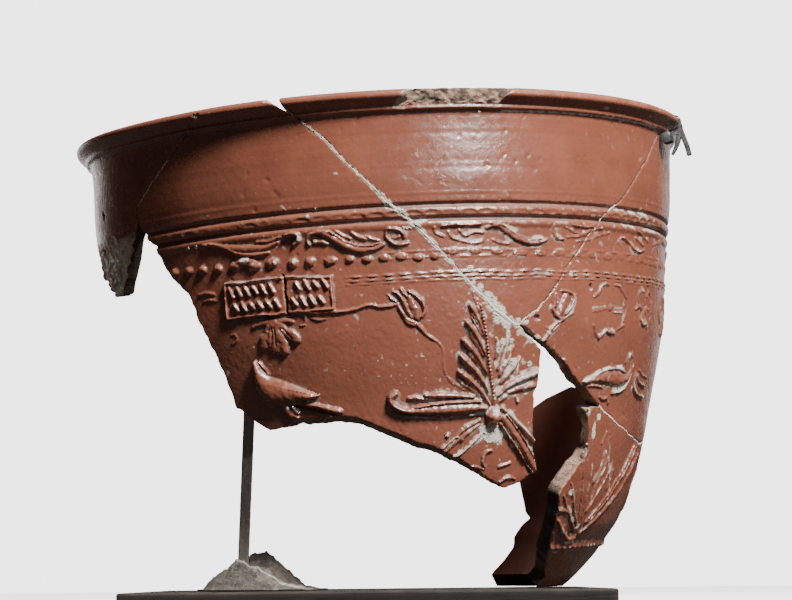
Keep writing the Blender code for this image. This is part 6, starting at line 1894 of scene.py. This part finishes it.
# ---- plaster in the joints
def seam_tree():
    nodes, given = shape_tree("Filled joint", {"Section": 1.0, "Ragged": 0.0003, "Grain": 1400.0})
    curve = nodes.geo("MeshToCurve", {"Mesh": given["Geometry"]})
    curve = nodes.geo("ResampleCurve", {"Curve": curve, "Length": 0.0005}, mode="LENGTH")
    width = nodes.geo("InputNamedAttribute", {"Name": "half_width"}, data_type="FLOAT")
    section = nodes.geo("CurvePrimitiveCircle", {"Resolution": 8, "Radius": given["Section"]})
    bead = nodes.geo("CurveToMesh", {"Curve": curve, "Profile Curve": section, "Scale": width,
                                     "Fill Caps": True})
    return close_tree(nodes, shifted(nodes, bead, given["Ragged"], given["Grain"], 5), given)


def seam_source(name):
    """The joints' middle lines, with the half width of the plaster at each point."""
    points, edges, widths = [], [], []
    for line in (curved(table, 6) for table in (SEAM_A, SEAM_B, SEAM_C, SEAM_C_LOW, SEAM_D)):
        x, y, half = line.T
        x = x + torn(x, y, 71)
        y = y + torn(x, y, 73)
        first = len(points)
        edges += [(first + i, first + i + 1) for i in range(len(line) - 1)]
        points += [tuple(p) for p in on_wall(x, y, skin(x, y) - 0.12 - 0.5 * half)]
        widths += [w * MM for w in half]
    mesh = bpy.data.meshes.new(name)
    mesh.from_pydata(points, edges, [])
    add_attribute(mesh, "half_width", widths)
    return mesh


# ---- crumbs of plaster
SMALLEST_CRUMB, LARGEST_CRUMB, PLACES_SEED = 0.00018, 0.00042, 23


def crumb_tree():
    nodes, given = shape_tree("Crumbs", {"Smallest": SMALLEST_CRUMB,
                                         "Largest": LARGEST_CRUMB, "Seed": 4})
    grain = nodes.geo("MeshIcoSphere", {"Radius": 1.0, "Subdivisions": 1})
    turn = nodes.add("FunctionNodeRandomValue", {0: (-pi, -pi, -pi), 1: (pi, pi, pi),
                                                 "Seed": given["Seed"]}, data_type="FLOAT_VECTOR")
    size = nodes.add("FunctionNodeRandomValue", {2: given["Smallest"], 3: given["Largest"],
                                                 "Seed": given["Seed"]},
                     data_type="FLOAT").node.outputs[1]
    squat = nodes.shade("CombineXYZ", {"X": size, "Y": nodes.times(size, 0.8),
                                       "Z": nodes.times(size, 0.55)})
    many = nodes.geo("InstanceOnPoints", {"Points": given["Geometry"], "Instance": grain,
                                          "Rotation": turn, "Scale": squat})
    real = nodes.geo("RealizeInstances", {"Geometry": many})
    return close_tree(nodes, shifted(nodes, real, 0.00025, 2600.0, 9), given)


def crumb_source(name):
    """Places for the crumbs: scattered over the pale blots, with a fixed seed."""
    chance = np.random.default_rng(PLACES_SEED)
    found = []
    for azimuth, height, wide, tall in PALE_SPOTS:
        for _ in range(int(2 + 1.3 * wide * tall)):
            turn, far = chance.uniform(0, 2 * pi), chance.uniform(0, 1) ** 0.5
            found.append((map_x(azimuth) + wide * far * cos(turn),
                          height + tall * far * sin(turn)))
    x, y = np.array(found).T
    keep = pale_mask(x, y) > 0.5
    x, y = x[keep], y[keep]
    mesh = bpy.data.meshes.new(name)
    mesh.from_pydata([tuple(p) for p in on_wall(x, y, relief(x, y) + skin(x, y))], [], [])
    return mesh


# ---- stage
CAMERA_PLACE = (9.95, -776.4, 20.0)
CAMERA_PITCH, CAMERA_ROLL = 7.19, -0.60
LENS, SENSOR, CLIP = 100.0, 36.0, (0.05, 20.0)
WHITE = (1.0, 1.0, 1.0)
FLOOR_RADIUS, FLOOR_SIDES = 3.0, 96
BACKDROP = 3.6
# Lights: azimuth, height in degrees, distance in metres, size, watts, colour, and whether it
# lights dull faces, shows in the gloss, or both.
LIGHTS = {
    "key_light": (31.0, 43.5, 1.5, (0.28, 0.28), 76.0, (1.0, 0.97, 0.93), "both"),
    "sheen_light": (32.0, 17.0, 0.9, (0.12, 0.02), 12.5, WHITE, "gloss"),
    "rim_light": (-168.0, 9.0, 1.6, (1.2, 0.5), 2.6, WHITE, "gloss"),
    "left_light": (-150.0, 9.0, 1.6, (0.7, 0.5), 0.6, WHITE, "gloss"),
    "far_light": (166.0, 9.0, 1.6, (1.2, 0.5), 1.8, WHITE, "gloss"),
    "graze_light": (-146.0, 12.0, 1.6, (0.3, 0.3), 32.0, WHITE, "dull"),
    "side_light": (-98.0, 24.0, 1.6, (0.3, 0.3), 2.0, WHITE, "dull"),
    "low_light": (108.0, -1.5, 1.6, (0.4, 0.06), 3.0, WHITE, "dull"),
}


def lamp(name, azimuth, rise, distance, size, power, colour, touches):
    data = bpy.data.lights.new(name, "AREA")
    data.shape, data.size, data.size_y = "RECTANGLE", *size
    data.energy, data.color = power, colour
    obj = linked(name, data)
    aim = (CAD_BOX[0] + CAD_BOX[1]) / 2
    turn, high = radians(azimuth), radians(rise)
    obj.location = aim + distance * Vector((sin(turn) * cos(high), -cos(turn) * cos(high),
                                            sin(high)))
    obj.rotation_euler = (aim - obj.location).to_track_quat("-Z", "Y").to_euler()
    obj.visible_camera = False
    obj.visible_diffuse = touches != "gloss"
    obj.visible_glossy = touches != "dull"


def floor_mesh(name):
    points = [(FLOOR_RADIUS * cos(2 * pi * i / FLOOR_SIDES),
               FLOOR_RADIUS * sin(2 * pi * i / FLOOR_SIDES), 0.0) for i in range(FLOOR_SIDES)]
    mesh = bpy.data.meshes.new(name)
    mesh.from_pydata(points, [], [tuple(range(FLOOR_SIDES))])
    mesh.materials.append(surface("pale_paper"))
    return mesh


def set_world():
    """Pale where the camera looks past the object, and much dimmer as a light on it."""
    world = bpy.data.worlds.new("studio")
    bpy.context.scene.world = world
    world.use_nodes = True
    world.node_tree.nodes.clear()
    nodes = Nodes(world.node_tree)
    seen, lit = (nodes.shade("Background", {"Color": shaded(WHITE), "Strength": strength})
                 for strength in (BACKDROP, look().room_light))
    nodes.shade("OutputWorld", {"Surface": nodes.for_camera(seen, lit)})


def set_camera():
    data = bpy.data.cameras.new("camera")
    data.lens, data.sensor_width = LENS, SENSOR
    data.sensor_fit = "HORIZONTAL"
    data.clip_start, data.clip_end = CLIP
    data.dof.use_dof = False
    camera = linked("camera", data)
    camera.location = Vector(CAMERA_PLACE) * MM
    pitched = Matrix.Rotation(radians(90.0 + CAMERA_PITCH), 3, "X")
    rolled = Matrix.Rotation(radians(CAMERA_ROLL), 3, "Z")
    camera.rotation_euler = (pitched @ rolled).to_euler()
    bpy.context.scene.camera = camera


# ---- settings
def colour(name, description, default):
    return FloatVectorProperty(name=name, description=description, default=default,
                               subtype="COLOR", size=3, min=0.0, max=1.0)


def length(name, description, default):
    return FloatProperty(name=name, description=description, default=default,
                         subtype="DISTANCE", unit="LENGTH")


class ArretineLooks(bpy.types.PropertyGroup):
    """Colours of the finishes."""

    slip_colour: colour("Slip", "Fired red gloss of the ware", BASE_COLOURS["red_slip"])
    clay_colour: colour("Broken clay", "Bare body of the ware on the breaks",
                        BASE_COLOURS["broken_clay"])
    plaster_colour: colour("Plaster", "Filling in the joints and chalky deposit",
                           (0.62, 0.58, 0.51))
    lump_colour: colour("Modelling clay", "Lump that holds the rod",
                        BASE_COLOURS["modelling_clay"])
    wood_colour: colour("Board", "Stained wood of the board", BASE_COLOURS["stained_wood"])
    floor_colour: colour("Floor", "Sheet under the board", (0.82, 0.81, 0.80))
    room_light: FloatProperty(
        name="Room light", description="Strength of the light from all round", min=0.0,
        max=2.0, default=0.012)


class ArretineSizes(bpy.types.PropertyGroup):
    """Sizes that a user may want to change."""

    rod_width: length("Rod width", "Width of the flat iron rod", ROD_SIZE[0] * MM)
    rod_thickness: length("Rod thickness", "Thickness of the flat iron rod", ROD_SIZE[1] * MM)
    rod_length: length("Rod length", "Length of the flat iron rod", ROD_SIZE[2] * MM)
    seam_ragged: length("Ragged seam", "How far the plaster wavers in the joints", 0.0003)
    crumb_largest: length("Largest crumb", "Half width of the largest plaster crumb",
                          LARGEST_CRUMB)
    crumb_seed: IntProperty(name="Crumb seed", description="Which scatter of crumbs", default=4)


def sizes():
    return bpy.context.scene.arretine_sizes


# ---- operators
# Azimuths between which each sherd keeps its lip.
RIM_LEFT, RIM_FRONT, RIM_UPPER, RIM_RIGHT = (-101, -31), (-31, -20.6), (-17.2, 79), (79, 101)


def sherd_outlines():
    whole_b = JOINT_B + JOINT_B_LOW[1:]
    return {
        "sherd_rim_left": joined(rim_run(*RIM_LEFT), JOINT_A, EDGE_LEFT_RIGHT, EDGE_LEFT_LOW),
        "sherd_front": joined(rim_run(*RIM_FRONT), CORNER_FRONT, whole_b,
                              EDGE_FRONT_RIGHT[::-1], EDGE_FRONT_LEFT[::-1], JOINT_A[::-1]),
        "sherd_upper": joined(rim_run(*RIM_UPPER), CRACK_C, JOINT_B[::-1], CORNER_UPPER[::-1]),
        "sherd_right": joined(rim_run(*RIM_RIGHT), EDGE_BACK[::-1], JOINT_D[::-1],
                              EDGE_RIGHT_OPEN[:1:-1], SPLIT_RIGHT[::-1], CRACK_C[-2::-1]),
        "sherd_lower_right": joined(JOINT_D, EDGE_LOW_BACK, foot_run()[::-1],
                                    EDGE_LOW_FRONT[::-1]),
    }


class MakeSherds(bpy.types.Operator):
    """Make the five sherds of the bowl"""

    bl_idname = "arretine.make_sherds"
    bl_label = "Sherds"

    def execute(self, context):
        for name, corners in sherd_outlines().items():
            ware = name + "_ware"
            mesh = sherd(ware, corners, name == "sherd_front", name == "sherd_lower_right")
            placed(ware, mesh, "red_slip", name)
        return {"FINISHED"}


class FillJoints(bpy.types.Operator):
    """Fill the joints with plaster, and scatter its crumbs"""

    bl_idname = "arretine.fill_joints"
    bl_label = "Plaster in the joints"

    def execute(self, context):
        seams = grown("joint_plaster", seam_source("joint_lines"), seam_tree(),
                      "gap_plaster", {"Ragged": sizes().seam_ragged})
        crumbs = grown("plaster_crumbs", crumb_source("crumb_places"), crumb_tree(),
                       "gap_plaster", {"Largest": sizes().crumb_largest,
                                       "Seed": sizes().crumb_seed})
        for mesh in (seams, crumbs):
            placed(mesh.name, smooth(mesh), "broken_clay")
        return {"FINISHED"}


class MakeRod(bpy.types.Operator):
    """Make the flat iron rod that props the front sherd"""

    bl_idname = "arretine.make_rod"
    bl_label = "Iron rod"

    def execute(self, context):
        foot = ((ROD_FOOT[0] + VASE_AXIS[0]) * MM, (ROD_FOOT[1] + VASE_AXIS[1]) * MM,
                BOARD_HIGH[2] + ROD_FOOT[2] * MM)
        mesh = grown("iron_rod", bpy.data.meshes.new("rod_source"), rod_tree(), "dark_iron", {
            "Width": sizes().rod_width, "Thickness": sizes().rod_thickness,
            "Length": sizes().rod_length, "Foot": foot,
            "Tilt": (radians(ROD_TILT[0]), radians(ROD_TILT[1]), 0.0)})
        placed("iron_rod", smooth(mesh, 50.0), "dark_iron", "support_rod")
        return {"FINISHED"}


class MakeClay(bpy.types.Operator):
    """Make the lump of modelling clay round the rod's foot"""

    bl_idname = "arretine.make_clay"
    bl_label = "Clay lump"

    def execute(self, context):
        placed("clay_lump", clay_mesh("clay_lump"), "modelling_clay", "clay_foot")
        return {"FINISHED"}


class MakeTie(bpy.types.Operator):
    """Make the bent strip over the rim"""

    bl_idname = "arretine.make_tie"
    bl_label = "Rim tie"

    def execute(self, context):
        placed("tie_strip", tie_mesh("tie_strip"), "lead_strip", "rim_tie")
        return {"FINISHED"}


class MakeBoard(bpy.types.Operator):
    """Make the board that carries it all"""

    bl_idname = "arretine.make_board"
    bl_label = "Board"

    def execute(self, context):
        placed("display_board", board_mesh("display_board"), "stained_wood", "base_board")
        return {"FINISHED"}


class SetStage(bpy.types.Operator):
    """Set the floor, the lights and the camera"""

    bl_idname = "arretine.set_stage"
    bl_label = "Stage"

    def execute(self, context):
        linked("pale_floor", floor_mesh("pale_floor"))
        for name, row in LIGHTS.items():
            lamp(name, *row)
        set_world()
        set_camera()
        return {"FINISHED"}


STEPS = (MakeSherds, FillJoints, MakeRod, MakeClay, MakeTie, MakeBoard, SetStage)


class ArretinePanel(bpy.types.Panel):
    """Lists the sizes, the colours and the steps"""

    bl_idname = "VIEW3D_PT_arretine"
    bl_label = "Arretine Bowl"
    bl_space_type = "VIEW_3D"
    bl_region_type = "UI"
    bl_category = "Arretine Bowl"

    def draw(self, context):
        for owner in (context.scene.arretine_sizes, context.scene.arretine_looks):
            for label in owner.__annotations__:
                self.layout.prop(owner, label)
        for step in STEPS:
            self.layout.operator(step.bl_idname)


CLASSES = (ArretineLooks, ArretineSizes) + STEPS + (ArretinePanel,)


def register():
    for item in CLASSES:
        bpy.utils.register_class(item)
    bpy.types.Scene.arretine_looks = PointerProperty(type=ArretineLooks)
    bpy.types.Scene.arretine_sizes = PointerProperty(type=ArretineSizes)


def unregister():
    del bpy.types.Scene.arretine_sizes
    del bpy.types.Scene.arretine_looks
    for item in reversed(CLASSES):
        bpy.utils.unregister_class(item)


def main():
    register()
    for step in STEPS:
        category, action = step.bl_idname.split(".")
        getattr(getattr(bpy.ops, category), action)()


if __name__ == "__main__":
    main()
